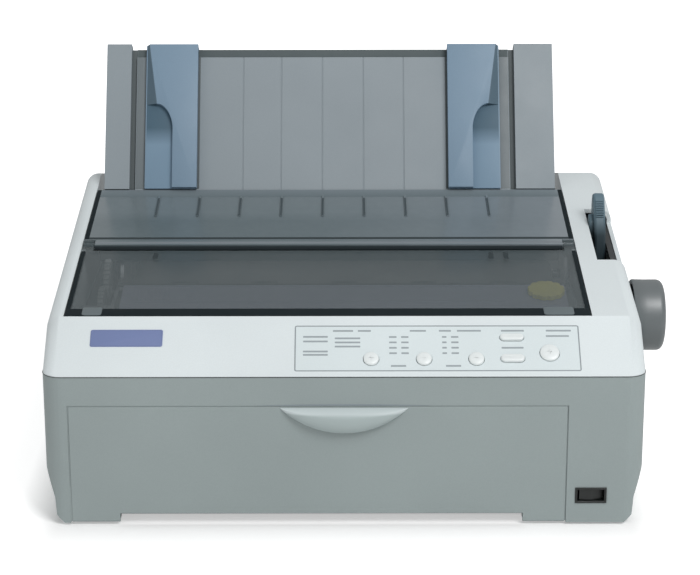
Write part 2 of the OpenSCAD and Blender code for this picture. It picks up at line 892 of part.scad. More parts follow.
module badge_plate() {
    color("#6a74b4") place() on_panel()
        translate([badge_x, badge_y, 0]) linear_extrude(badge_t)
            rounded_square(badge_w, badge_h, 1);
}

rocker_half = 8;
rocker_h = 7.2;
rocker_tilt = 7;
rocker_y = 5;
rocker_pin_r = 1;

module power_switch_housing() {
    cavity_w = 2 * rocker_half + 1.4;
    cavity_h = rocker_h + 0.6;
    color(black) place() translate([switch_x, 0, switch_z])
        difference() {
            union() {
                box(-switch_w / 2, switch_w / 2, -bezel_t, 0, -switch_h / 2, switch_h / 2);
                box(-switch_w / 2 + bezel, switch_w / 2 - bezel, -bezel_t, switch_d,
                    -switch_h / 2 + bezel, switch_h / 2 - bezel);
            }
            box(-cavity_w / 2, cavity_w / 2, -1, switch_d - 3, -cavity_h / 2, cavity_h / 2);
            translate([0, rocker_y, -cavity_h / 2 - 0.8])
                cylinder(h = cavity_h + 1.6, r = rocker_pin_r + fit);
        }
}

module power_rocker() {
    color("#1d1f21") place() translate([switch_x, rocker_y, switch_z])
        rotate([0, 0, rocker_tilt]) {
            translate([0, 0, -rocker_h / 2])
                linear_extrude(rocker_h)
                    polygon([[-rocker_half, 0], [-rocker_half, -3.2], [0, -4.6],
                        [rocker_half, -3.2], [rocker_half, 0], [0, 3.5]]);
            translate([0, 0, -rocker_h / 2 - 0.9]) cylinder(h = rocker_h + 1.8, r = rocker_pin_r);
        }
}

// Release lever ---------------------------------------------------------------------------
module release_lever() {
    color("#55666e") place()
        difference() {
            union() {
                rod_x(lever_x - lever_w / 2, lever_x + lever_w / 2, lever_y, lever_z, 8);
                plate_x(lever_x - lever_w / 2, lever_x + lever_w / 2,
                    [[lever_y - 8, lever_z], [lever_y - 8, lever_z + 30],
                    [lever_y - 2, lever_z + 41], [lever_y + 7, lever_z + 53],
                    [lever_y + 12, lever_z + 56.5], [lever_y + 17, lever_z + 55],
                    [lever_y + 20, lever_z + 48], [lever_y + 18, lever_z + 30],
                    [lever_y + 8, lever_z]]);
            }
            rod_x(lever_x - lever_w, lever_x + lever_w, lever_y, lever_z, lever_pin_r);
        }
}

module release_shaft() {
    color(steel) place()
        rod_x(frame_half - 6, half_w - wall - 0.3, lever_y, lever_z, lever_pin_r);
}

// Black plate under the notch, with a slot for the lever.
module lever_guide() {
    guide_floor = -notch_deep - 1;
    y0 = (notch_y0 - panel_run) / cos(cover_slope);
    y1 = (notch_y1 - panel_run) / cos(cover_slope);
    color(black) place()
        difference() {
            intersection() {
                on_cover() translate([open_right + return_t, y0 - 4, guide_floor - 2])
                    cube([60, y1 - y0 + 8, 2]);
                case_form(wall);
            }
            on_cover() translate([lever_x - lever_w / 2 - 1, y0 + 6, guide_floor - 6])
                cube([lever_w + 2, y1 - y0 - 12, 12]);
        }
}

// Platen ------------------------------------------------------------------------------------
knob_gap = 2;
knob_edge = 5;

module platen_knob() {
    x0 = half_w + knob_gap;
    x1 = half_w + knob_out;
    color("#7c8486") place()
        translate([x0, platen_y, platen_z]) rotate([0, 90, 0])
            difference() {
                rotate_extrude()
                    union() {
                        square([knob_r - knob_edge, x1 - x0]);
                        square([knob_r, x1 - x0 - knob_edge]);
                        translate([knob_r - knob_edge, x1 - x0 - knob_edge]) circle(knob_edge);
                    }
                translate([0, 0, -1]) cylinder(h = x1 - x0 - 5 + 1, r = shaft_r);
                // hollow at the inner end
                translate([0, 0, -1])
                    difference() {
                        cylinder(h = 12, r = knob_r - 3);
                        cylinder(h = 12, r = shaft_r + 4);
                    }
            }
}

module platen_roller() {
    color("#3d4446") place()
        difference() {
            rod_x(-platen_l / 2, platen_l / 2, platen_y, platen_z, platen_r);
            rod_x(-platen_l / 2 - 1, platen_l / 2 + 1, platen_y, platen_z, shaft_r);
        }
}

platen_teeth = 32;
reduction_teeth = 26;
pinion_teeth = 8;
transfer_teeth = 42;
tractor_teeth = 22;
gear_x1 = -frame_out - 1;
gear_step = 5;
gear_w = 4;
gear_gap = 0.3;

module platen_shaft() {
    color(steel) place()
        rod_x(gear_x1 - gear_step - gear_w - 2, half_w + knob_out - 5, platen_y, platen_z, shaft_r);
}

module platen_gear() {
    color(acetal) place()
        spur(gear_x1 - gear_step - gear_w, gear_x1, platen_y, platen_z, platen_gear_r,
            platen_teeth, shaft_r);
}

// Reduction gear and motor pinion sit below and behind the platen gear
reduction_dir = -40;
reduction_reach = platen_gear_r + reduction_gear_r + gear_gap;
reduction_y = platen_y + reduction_reach * cos(reduction_dir);
reduction_z = platen_z + reduction_reach * sin(reduction_dir);
pinion_dir = -30;
pinion_reach = reduction_gear_r + pinion_r + gear_gap;
pinion_y = reduction_y + pinion_reach * cos(pinion_dir);
pinion_z = reduction_z + pinion_reach * sin(pinion_dir);
gear_pin_r = 3;
feed_motor_r = 17;
feed_motor_l = 26;
motor_shaft_r = 2;

module reduction_gear() {
    color(acetal) place()
        spur(gear_x1 - gear_w, gear_x1, reduction_y, reduction_z, reduction_gear_r,
            reduction_teeth, gear_pin_r + fit);
}

module motor_pinion() {
    color("#c9b26a") place()
        spur(gear_x1 - gear_w, gear_x1, pinion_y, pinion_z, pinion_r, pinion_teeth,
            motor_shaft_r + fit);
}

module feed_motor() {
    color(dull_metal) place() {
        rod_x(-frame_half, -frame_half + feed_motor_l, pinion_y, pinion_z, feed_motor_r);
        rod_x(gear_x1 - gear_w - 1, -frame_half + 1, pinion_y, pinion_z, motor_shaft_r);
    }
}

// Three equal transfer gears bridge the way from the platen to the tractor
train_span = norm([tractor_y - platen_y, tractor_z - platen_z]);
train_dir = atan2(tractor_z - platen_z, tractor_y - platen_y);
transfer_r = (train_span - platen_gear_r - tractor_gear_r - 4 * gear_gap) / 6;

function transfer_reach(i) = platen_gear_r + gear_gap + transfer_r
    + i * (2 * transfer_r + gear_gap);
function transfer_y(i) = platen_y + transfer_reach(i) * cos(train_dir);
function transfer_z(i) = platen_z + transfer_reach(i) * sin(train_dir);

module transfer_gear(i) {
    x1 = gear_x1 - gear_step;
    spur(x1 - gear_w, x1, transfer_y(i), transfer_z(i), transfer_r, transfer_teeth,
        gear_pin_r + fit);
}

module transfer_gear_1() {
    color(acetal) place() transfer_gear(0);
}

module transfer_gear_2() {
    color(acetal) place() transfer_gear(1);
}

module transfer_gear_3() {
    color(acetal) place() transfer_gear(2);
}

// Tractor -------------------------------------------------------------------------------------
tractor_left_x = -frame_half + 15.5;
tractor_right_x = frame_half - 45.5;
tractor_low = 12;
tractor_top = 12;
tractor_front = 16;
tractor_back = 34;
tractor_bar_dy = 22;
tractor_bar_dz = -3;
flap_t = 2;
flap_hinge_r = 1;
flap_lift = 3.6;
ear_front = -11;
ear_back = 25;
ear_t = 3;
feed_pin_pitch = 12.7;

module tractor_shaft() {
    color(steel) place() {
        rod_x(gear_x1 - gear_step - gear_w - 1, frame_out, tractor_y, tractor_z, tractor_shaft_r);
        spur(gear_x1 - gear_step - gear_w, gear_x1 - gear_step, tractor_y, tractor_z,
            tractor_gear_r, tractor_teeth, tractor_shaft_r - 1);
    }
}

module tractor_bar() {
    color(steel) place()
        rod_x(-frame_out, frame_out, tractor_y + tractor_bar_dy, tractor_z + tractor_bar_dz,
            tractor_shaft_r);
}

// Tractor with its left side at x = 0; the flap's ears stand at x = ear_x.
module tractor(ear_x) {
    hinge_z = tractor_z + tractor_top + flap_lift;
    difference() {
        union() {
            plate_x(0, tractor_w,
                [[tractor_y - tractor_front + 4, tractor_z - tractor_low],
                [tractor_y - tractor_front, tractor_z],
                [tractor_y - tractor_front + 3, tractor_z + tractor_top],
                [tractor_y + tractor_back - 4, tractor_z + tractor_top],
                [tractor_y + tractor_back, tractor_z],
                [tractor_y + tractor_back - 4, tractor_z - tractor_low]]);
            // pins that feed the paper
            for (i = [0 : 3])
                translate([tractor_w / 2, tractor_y - 10 + i * feed_pin_pitch,
                    tractor_z + tractor_top - 1])
                    cylinder(h = 2.4, r = 1.9);
            // ears of the flap's hinge
            for (y = [tractor_y + ear_front, tractor_y + ear_back])
                translate([ear_x - 2, y, tractor_z + tractor_top - 1])
                    cube([4, ear_t, flap_lift + 1 + 2]);
        }
        rod_x(-1, tractor_w + 1, tractor_y, tractor_z, tractor_shaft_r + fit);
        rod_x(-1, tractor_w + 1, tractor_y + tractor_bar_dy, tractor_z + tractor_bar_dz,
            tractor_shaft_r + fit);
        rod_y_dir(tractor_y + ear_front - 1, tractor_y + ear_back + ear_t + 1, ear_x, hinge_z,
            flap_hinge_r + fit);
    }
}

// Flap whose hinge is at x = 0 and that reaches to +x.
module tractor_flap() {
    y0 = tractor_y + ear_front + ear_t + gap;
    y1 = tractor_y + ear_back - gap;
    hinge_z = tractor_z + tractor_top + flap_lift;
    rod_y_dir(tractor_y + ear_front, tractor_y + ear_back + ear_t, 0, hinge_z, flap_hinge_r);
    rod_y_dir(y0, y1, 0, hinge_z, 2);
    box(0, tractor_w - 3, y0, y1, hinge_z - flap_t / 2, hinge_z + flap_t / 2);
}

module tractor_left() {
    color(dark_grey) place() translate([tractor_left_x, 0, 0]) tractor(2);
}

module tractor_right() {
    color(dark_grey) place() translate([tractor_right_x, 0, 0]) tractor(tractor_w - 2);
}

module tractor_flap_left() {
    color(dark_grey) place() translate([tractor_left_x + 2, 0, 0]) tractor_flap();
}

module tractor_flap_right() {
    color(dark_grey) place() translate([tractor_right_x + tractor_w - 2, 0, 0])
        mirror([1, 0, 0]) tractor_flap();
}

// Frame of the mechanism -------------------------------------------------------------------------
frame_low_top = 124;
frame_high_top = 136;
frame_step_y = 150;
frame_rear_low = 88;
frame_knee = [base_y1 + 20, 60];
bracket_y = 80;
bracket_t = 2;
bracket_w = 20;
belt_z = 70;
belt_w = 5;
belt_y = bracket_y - 6.2;
motor_hole_r = 7;
flange_w = 20;
pulley_pin_r = 2.5;

module base_frame() {
    color(steel) place()
        difference() {
            union() {
                box(-frame_out, frame_out, frame_y0, base_y1, base_z, base_z + base_t);
                // upright plates for the belt pulleys
                for (x = [-frame_half, pulley_half - bracket_w])
                    box(x, x + bracket_w + frame_half - pulley_half, bracket_y,
                        bracket_y + bracket_t, base_z, belt_z + bracket_w);
                // pin of the idler pulley
                rod_y_dir(belt_y - 1.5, bracket_y + 1, pulley_half, belt_z, pulley_pin_r);
            }
            rod_y_dir(bracket_y - 1, bracket_y + bracket_t + 1, -pulley_half, belt_z, 3);
            for (x = [-stand_x, stand_x], y = stand_y)
                translate([x, y, 0]) cylinder(h = 20, r = screw_r);
        }
}

module side_plate(x0, x1) {
    difference() {
        plate_x(x0, x1, [[frame_y0, base_z + base_t], [frame_y0, frame_low_top - 12],
            [frame_y0 + 6, frame_low_top], [frame_step_y, frame_low_top],
            [frame_step_y + 10, frame_high_top], [frame_y1 - 14, frame_high_top],
            [frame_y1, frame_high_top - 16], [frame_y1, frame_rear_low], frame_knee,
            [base_y1, base_z + base_t]]);
        rod_x(x0 - 1, x1 + 1, rod_y, rod_z, rod_r);
        rod_x(x0 - 1, x1 + 1, platen_y, platen_z, shaft_r + fit);
        rod_x(x0 - 1, x1 + 1, tractor_y, tractor_z, tractor_shaft_r + fit);
        rod_x(x0 - 1, x1 + 1, tractor_y + tractor_bar_dy, tractor_z + tractor_bar_dz,
            tractor_shaft_r);
        rod_x(x0 - 1, x1 + 1, bail_pivot_y, bail_pivot_z, bail_pin_r + fit);
        // open seat of the ribbon cartridge's peg
        box(x0 - 1, x1 + 1, peg_y - peg_r - gap, peg_y + peg_r + gap, peg_z - peg_r - gap, 200);
    }
}

module side_frame_left() {
    color(steel) place() {
        difference() {
            side_plate(-frame_out, -frame_half);
            rod_x(-frame_out - 1, -frame_half + 1, pinion_y, pinion_z, motor_hole_r);
        }
        // gear pins
        rod_x(gear_x1 - gear_w - 1, -frame_out, reduction_y, reduction_z, gear_pin_r);
        for (i = [0 : 2])
            rod_x(gear_x1 - gear_step - gear_w - 1, -frame_out, transfer_y(i), transfer_z(i),
                gear_pin_r);
        // flange in front of the gears
        box(-frame_out - flange_w, -frame_out, frame_y0 + 6, platen_y - platen_gear_r - 2,
            frame_low_top - 2, frame_low_top);
    }
}

module side_frame_right() {
    color(steel) place()
        difference() {
            side_plate(frame_half, frame_out);
            rod_x(frame_half - 1, frame_out + 1, lever_y, lever_z, lever_pin_r + fit);
        }
}

// Sheet that leads the paper from the tractors to the platen
path_y0 = platen_y + 24;
path_y1 = tractor_y - tractor_front - 4;
path_z = 98;
path_t = 1.2;

module paper_plate() {
    color(steel) place()
        plate_x(-frame_half, frame_half, [[path_y0 - 8, path_z + 4], [path_y0, path_z],
            [path_y1, path_z + 2], [path_y1 + 3, path_z + 8], [path_y1 + 3, path_z + 8 + path_t],
            [path_y1 - 1, path_z + 2 + path_t], [path_y0 + 0.5, path_z + path_t],
            [path_y0 - 8, path_z + 4 + path_t]]);
}

carriage_motor_l = 30;

module carriage_motor() {
    color(dull_metal) place() {
        rod_y_dir(bracket_y + bracket_t, bracket_y + bracket_t + carriage_motor_l,
            -pulley_half, belt_z, carriage_motor_r);
        rod_y_dir(belt_y - 1.5, bracket_y + bracket_t + 1, -pulley_half, belt_z, pulley_pin_r);
    }
}

module pulley(x, bore) {
    difference() {
        union() {
            rod_y_dir(belt_y - 1.3, belt_y + belt_w, x, belt_z, pulley_r - gap);
            rod_y_dir(belt_y - 1.3, belt_y - gap, x, belt_z, pulley_r + 1);
        }
        rod_y_dir(belt_y - 2, belt_y + belt_w + 1, x, belt_z, bore);
    }
}

module carriage_pulley() {
    color(acetal) place() pulley(-pulley_half, pulley_pin_r + fit);
}

module idler_pulley() {
    color(acetal) place() pulley(pulley_half, pulley_pin_r + fit);
}

module drive_belt() {
    color(black) place() {
        translate([0, belt_y + belt_w, belt_z]) rotate([90, 0, 0])
            linear_extrude(belt_w)
                difference() {
                    slot_2d(2 * (pulley_half + pulley_r + belt_t), 2 * (pulley_r + belt_t));
                    slot_2d(2 * (pulley_half + pulley_r), 2 * pulley_r);
                }
    }
}

// Carriage ------------------------------------------------------------------------------------------
carriage_x = -frame_half + 55.5;
bush_h = 10;
rail_y0 = 42;
rail_y1 = 48;
rail_top = 92;
deck_z0 = rod_z + bush_h;
deck_t = 5;
head_y0 = 60;
head_y1 = 84;
head_h = 14;
head_half = 16;
fin_t = 2;
fin_pitch = 5;
fin_l = 6;
nose_half = 6;
nose_gap = 1.6;
cartridge_low = 116;

module carriage_rod() {
    color(bright_steel) place() rod_x(-frame_out - 1, frame_out + 3.6, rod_y, rod_z, rod_r);
}

module carriage_rail() {
    color(steel) place() {
        box(-frame_half, frame_half, rail_y0, rail_y1, rail_top - 4, rail_top);
        box(-frame_half, frame_half, rail_y0, rail_y0 + 2, rail_top - 18, rail_top);
    }
}

module carriage() {
    x0 = carriage_x - carriage_w / 2;
    x1 = carriage_x + carriage_w / 2;
    clamp_z = belt_z + pulley_r + belt_t / 2;
    color("#3a3f42") place()
        difference() {
            union() {
                box(x0, x1, rod_y - bush_h, rod_y + bush_h, rod_z - bush_h, deck_z0);
                box(x0, x1, rod_y - bush_h, head_y1, deck_z0, deck_z0 + deck_t);
                // foot on the front rail
                box(x0 + 6, x1 - 6, rail_y0 - 2, rod_y - bush_h + 1, rail_top + gap, rail_top + gap + 4);
                // clamp round the belt
                box(carriage_x - 8, carriage_x + 8, rod_y + bush_h - 1, belt_y + belt_w + gap,
                    clamp_z - 3.2, clamp_z + 3.2);
            }
            rod_x(x0 - 1, x1 + 1, rod_y, rod_z, rod_r + fit);
            box(x0, x1, belt_y - gap, belt_y + belt_w + 1, clamp_z - belt_t / 2 - gap,
                clamp_z + belt_t / 2 + gap);
        }
}

module print_head() {
    head_z0 = deck_z0 + deck_t;
    nose_y1 = platen_y - platen_r - nose_gap;
    color("#4a4f52") place() {
        box(carriage_x - head_half, carriage_x + head_half, head_y0, head_y1, head_z0,
            head_z0 + head_h);
        // cooling fins
        for (i = [0 : 6])
            box(carriage_x - head_half + i * fin_pitch,
                carriage_x - head_half + i * fin_pitch + fin_t, head_y0 - fin_l, head_y0,
                head_z0, head_z0 + head_h - 1);
        // nose with the print wires
        box(carriage_x - nose_half, carriage_x + nose_half, head_y1, nose_y1, head_z0 + 4,
            head_z0 + head_h - 2);
    }
}

// Ribbon cartridge -------------------------------------------------------------------------------------
cartridge_drop = 6.5;
cartridge_y0 = 50;
cartridge_ridge = 66;
cartridge_back = platen_y - 5.5;
cartridge_over = platen_z + platen_r + 2.5;
peg_y = 72;
peg_z = 121;
peg_r = 2.5;
ribbon_t = 0.25;
arm_w = 7;

module ribbon_cartridge() {
    top = cartridge_drop / cos(cover_slope);
    ribbon_y = platen_y - platen_r - 0.95;
    color("#6d7278") place() {
        plate_x(-cartridge_half, cartridge_half,
            [[cartridge_y0, cartridge_low], [head_y1, cartridge_low], [head_y1 + 2, cartridge_over],
            [cartridge_back, cartridge_over], [cartridge_back, cover_z(cartridge_back) - top],
            [cartridge_ridge, cover_z(cartridge_ridge) - top],
            [cartridge_ridge - 5, cover_z(cartridge_ridge) - top - 5],
            [cartridge_y0, cartridge_low + 5]]);
        rod_x(-frame_half + gap, frame_half - gap, peg_y, peg_z, peg_r);
        // arms that hold the ribbon in front of the platen
        for (x = [-cartridge_half, cartridge_half - arm_w])
            box(x, x + arm_w, head_y1 - 4, ribbon_y, deck_z0 + deck_t + 2, cartridge_low + 1);
        box(-cartridge_half + arm_w - 1, cartridge_half - arm_w + 1, ribbon_y - ribbon_t, ribbon_y,
            deck_z0 + deck_t + 2, deck_z0 + deck_t + 14);
    }
}

ribbon_knob_x = frame_half - 19;
ribbon_knob_y = 48;

module ribbon_knob() {
    color("#a9a458") place() on_cover()
        translate([ribbon_knob_x, ribbon_knob_y, -cartridge_drop + gap])
            difference() {
                cylinder(h = cartridge_drop - cover_t - 2 * gap - 0.2, r = ribbon_knob_r);
                for (i = [0 : 11])
                    rotate([0, 0, i * 30]) translate([ribbon_knob_r + 0.6, 0, -1]) cylinder(h = 9, r = 1.6);
            }
}

// Paper bail ------------------------------------------------------------------------------------
bail_pivot_y = 140;
bail_pivot_z = 116;
bail_pin_r = 2;
bail_roller_r = 5;
bail_dir = 50;
bail_reach = platen_r + bail_roller_r + gap;
bail_y = platen_y + bail_reach * cos(bail_dir);
bail_z = platen_z + bail_reach * sin(bail_dir);
bail_arm_t = 2;
bail_rollers = 5;
bail_roller_half = 9;
bail_pitch = (frame_half - 45.5) / 2;

module paper_bail() {
    arm_x = frame_half - 2 * gap - bail_arm_t;
    span = norm([bail_pivot_y - bail_y, bail_pivot_z - bail_z]);
    color(bright_steel) place() {
        rod_x(-arm_x - bail_arm_t, arm_x + bail_arm_t, bail_y, bail_z, 2);
        for (i = [0 : bail_rollers - 1])
            translate([(i - (bail_rollers - 1) / 2) * bail_pitch, 0, 0])
                rod_x(-bail_roller_half, bail_roller_half, bail_y, bail_z, bail_roller_r);
        for (x = [-arm_x - bail_arm_t, arm_x]) {
            translate([x, bail_y, bail_z])
                rotate([atan2(bail_pivot_z - bail_z, bail_pivot_y - bail_y), 0, 0])
                    translate([0, 0, -3]) cube([bail_arm_t, span, 6]);
            rod_x(x, x + bail_arm_t, bail_pivot_y, bail_pivot_z, 5);
            rod_x(x, x + bail_arm_t, bail_y, bail_z, 3.5);
        }
        rod_x(-frame_out, -arm_x - bail_arm_t + 1, bail_pivot_y, bail_pivot_z, bail_pin_r);
        rod_x(arm_x + bail_arm_t - 1, frame_out, bail_pivot_y, bail_pivot_z, bail_pin_r);
    }
}

// Lever that sets the gap between print head and platen
gap_lever_t = 2.4;
gap_lever_l = 36;

module gap_lever() {
    x0 = frame_out + gap;
    x1 = x0 + gap_lever_t;
    color("#5b7f96") place()
        difference() {
            union() {
                rod_x(x0, x1, rod_y, rod_z, rod_r + 4);
                plate_x(x0, x1, [[rod_y - 7, rod_z], [rod_y - 13, rod_z + gap_lever_l],
                    [rod_y - 5, rod_z + gap_lever_l + 1], [rod_y + 5, rod_z]]);
            }
            rod_x(x0 - 1, x1 + 1, rod_y, rod_z, rod_r + fit);
        }
}

// Electronics -----------------------------------------------------------------------------------
main_board_z = base_z + base_t;
stand_h = 4;
board_thick = 1.6;
board_top = main_board_z + stand_h + board_thick;
board_front = bracket_y + 12;
board_rear = base_y1 - 8;
board_corner = 6;
supply_x1 = frame_half - 5.5;
supply_x0 = supply_x1 - 80;
main_x0 = -frame_half + 15.5;
main_x1 = supply_x0 - 14;
chip_h = 4;
wide_chip = [30, 30];
long_chip = [40, 15];
plug_strip = [30, 12, 18];
driver_r = 6;
driver_h = 16;
driver_pitch = 18;
transformer = [46, 42, 32];
heat_sink = [6, 60, 26];
smoothing_r = 11;
smoothing_h = 30;

// Board between two values of x, on four stands.
module circuit_board(x0, x1) {
    box(x0, x1, board_front, board_rear, board_top - board_thick, board_top);
    for (x = [x0 + board_corner, x1 - board_corner],
            y = [board_front + board_corner, board_rear - board_corner])
        translate([x, y, main_board_z]) cylinder(h = stand_h, r = 3);
}

module main_board() {
    color(board_green) place() {
        circuit_board(main_x0, main_x1);
        translate([main_x0 + 50, board_front + 28, board_top])
            cube([wide_chip[0], wide_chip[1], chip_h]);
        translate([main_x0 + 100, board_front + 38, board_top])
            cube([long_chip[0], long_chip[1], chip_h]);
        translate([main_x1 - 46, board_front + 18, board_top]) cube(plug_strip);
        for (i = [0 : 3])
            translate([main_x0 + 20 + i * driver_pitch, board_rear - 27, board_top])
                cylinder(h = driver_h, r = driver_r);
    }
}

module power_supply() {
    color("#8a7a4e") place() {
        circuit_board(supply_x0, supply_x1);
        translate([supply_x0 + 14, board_rear - 52, board_top]) cube(transformer);
        translate([supply_x0 + 8, board_front + 18, board_top]) cube(heat_sink);
        translate([supply_x1 - 32, board_front + 48, board_top])
            cylinder(h = smoothing_h, r = smoothing_r);
    }
}

socket_d = 16;

// Mains inlet: a shell with three blades in its pocket.
module ac_inlet() {
    color(black) place() translate([inlet_x, case_d, inlet_z]) {
        difference() {
            union() {
                box(-inlet_w / 2, inlet_w / 2, -wall - socket_d, 0, -inlet_h / 2, inlet_h / 2);
                box(-inlet_w / 2 - 2, inlet_w / 2 + 2, -wall - 2, -wall, -inlet_h / 2 - 2,
                    inlet_h / 2 + 2);
            }
            box(-inlet_w / 2 + 1.6, inlet_w / 2 - 1.6, -wall - socket_d + 2, 1,
                -inlet_h / 2 + 1.6, inlet_h / 2 - 1.6);
        }
        for (p = [[-7, 1], [7, 1], [0, -4]])
            box(p[0] - 1, p[0] + 1, -wall - socket_d + 1, -3, p[1] - 2, p[1] + 2);
    }
}

// Sockets in the recessed plate, as the x of both sides and half of the height.
parallel = [-46, 18, 7];
serial = [28, 41, 6];
ports_recess = 6;
shell_lip = 2;

// Plate with the parallel socket and the small square socket
module interface_ports() {
    floor_y = -wall - ports_recess;
    color(dull_metal) place() translate([ports_x, case_d, ports_z]) {
        difference() {
            box(-ports_w / 2, ports_w / 2, floor_y, 0, -ports_h / 2, ports_h / 2);
            box(-ports_w / 2 + 2, ports_w / 2 - 2, floor_y + 2, 1, -ports_h / 2 + 2,
                ports_h / 2 - 2);
        }
        for (p = [[parallel, shell_lip, 3], [serial, shell_lip - 0.5, 3]]) {
            x0 = p[0][0];
            x1 = p[0][1];
            high = p[0][2];
            lip = p[1];
            difference() {
                box(x0, x1, floor_y + 1, -2, -high, high);
                box(x0 + lip, x1 - lip, floor_y + 3, 0, -high + lip, high - lip);
            }
            // tongue with the contacts
            box(x0 + lip + 2, x1 - lip - 2, floor_y + 1, -3, -high + lip + p[2], high - lip - p[2]);
        }
    }
}

lower_case();
upper_case();
rubber_feet();
case_screws();
front_door();
cover_window();
rear_cover();
paper_guide();
edge_guide_left();
edge_guide_right();
control_panel();
control_board();
badge_plate();
button_round_1();
button_round_2();
button_round_3();
button_oblong_upper();
button_oblong_lower();
button_large();
power_switch_housing();
power_rocker();
release_lever();
release_shaft();
lever_guide();
platen_knob();
platen_roller();
platen_shaft();
platen_gear();
reduction_gear();
motor_pinion();
transfer_gear_1();
transfer_gear_2();
transfer_gear_3();
tractor_shaft();
tractor_bar();
tractor_left();
tractor_right();
tractor_flap_left();
tractor_flap_right();
base_frame();
side_frame_left();
side_frame_right();
paper_plate();
feed_motor();
carriage_motor();
carriage_pulley();
idler_pulley();
drive_belt();
carriage_rod();
carriage_rail();
carriage();
print_head();
ribbon_cartridge();
ribbon_knob();
paper_bail();
gap_lever();
main_board();
power_supply();
ac_inlet();
interface_ports();
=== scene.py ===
"""Looks of a narrow-carriage dot matrix printer.

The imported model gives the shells, covers, guides and mechanism at their real size. This
script gives each of them its finish, rounds what moulding and deburring round, and adds
the fine shapes: generic legends, button caps, door grip, knob, screw recesses and the
components on the boards.

The pieces are drawn in millimetres on planes of the case. The planes carry them to the
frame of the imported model, in metres: +X right, +Y back, +Z up.
"""
import json
import logging
import math
from dataclasses import dataclass
from enum import Enum
from functools import cache
from typing import Callable

import bmesh
import bpy
import numpy as np
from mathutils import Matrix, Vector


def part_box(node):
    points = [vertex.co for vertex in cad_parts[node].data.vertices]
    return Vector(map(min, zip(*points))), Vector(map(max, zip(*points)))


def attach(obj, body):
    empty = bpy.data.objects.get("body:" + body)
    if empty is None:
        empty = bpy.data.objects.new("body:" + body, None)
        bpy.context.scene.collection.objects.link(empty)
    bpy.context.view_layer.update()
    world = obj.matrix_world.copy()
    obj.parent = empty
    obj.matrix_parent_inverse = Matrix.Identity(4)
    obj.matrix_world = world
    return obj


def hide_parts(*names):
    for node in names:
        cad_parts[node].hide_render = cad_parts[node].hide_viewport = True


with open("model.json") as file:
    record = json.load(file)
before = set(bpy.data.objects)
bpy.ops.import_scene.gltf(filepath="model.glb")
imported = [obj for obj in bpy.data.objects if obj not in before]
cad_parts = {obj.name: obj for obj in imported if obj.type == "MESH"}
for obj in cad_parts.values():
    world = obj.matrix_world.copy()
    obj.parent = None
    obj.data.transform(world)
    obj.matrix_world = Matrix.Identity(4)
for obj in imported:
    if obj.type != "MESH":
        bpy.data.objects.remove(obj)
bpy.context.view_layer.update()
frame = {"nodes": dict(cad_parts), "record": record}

MM = 0.001
log = logging.getLogger("printer")

Triple = tuple[float, float, float]
Span = tuple[float, float]
Socket = bpy.types.NodeSocket


def srgb(red: int, green: int, blue: int) -> Triple:
    """Turns a display colour, given from 0 to 255, into scene-linear light.

    Args:
        red, green, blue: The three channels.

    Returns:
        The colour in linear light.
    """
    value = np.array([red, green, blue]) / 255.0
    linear = np.where(value <= 0.04045, value / 12.92, ((value + 0.055) / 1.055) ** 2.4)
    return tuple(float(c) for c in linear)


def scaled(colour: Triple, factor: float) -> Triple:
    """The colour made lighter or darker by a factor."""
    return tuple(min(1.0, c * factor) for c in colour)


# --- Frames of reference on the case -------------------------------------------------
@dataclass(frozen=True)
class Plane:
    """A flat working frame: an origin and three unit axes, all in metres."""

    origin: Triple
    across: Triple = (1.0, 0.0, 0.0)
    along: Triple = (0.0, 1.0, 0.0)
    out: Triple = (0.0, 0.0, 1.0)

    def place(self, points: np.ndarray) -> np.ndarray:
        """Carries points from the plane's own axes to the model's frame.

        Args:
            points: Array of shape (..., 3), in millimetres along across, along and out.

        Returns:
            The same points in the model's frame, in metres.
        """
        axes = np.array([self.across, self.along, self.out])
        return np.asarray(points, float) * MM @ axes + np.array(self.origin)


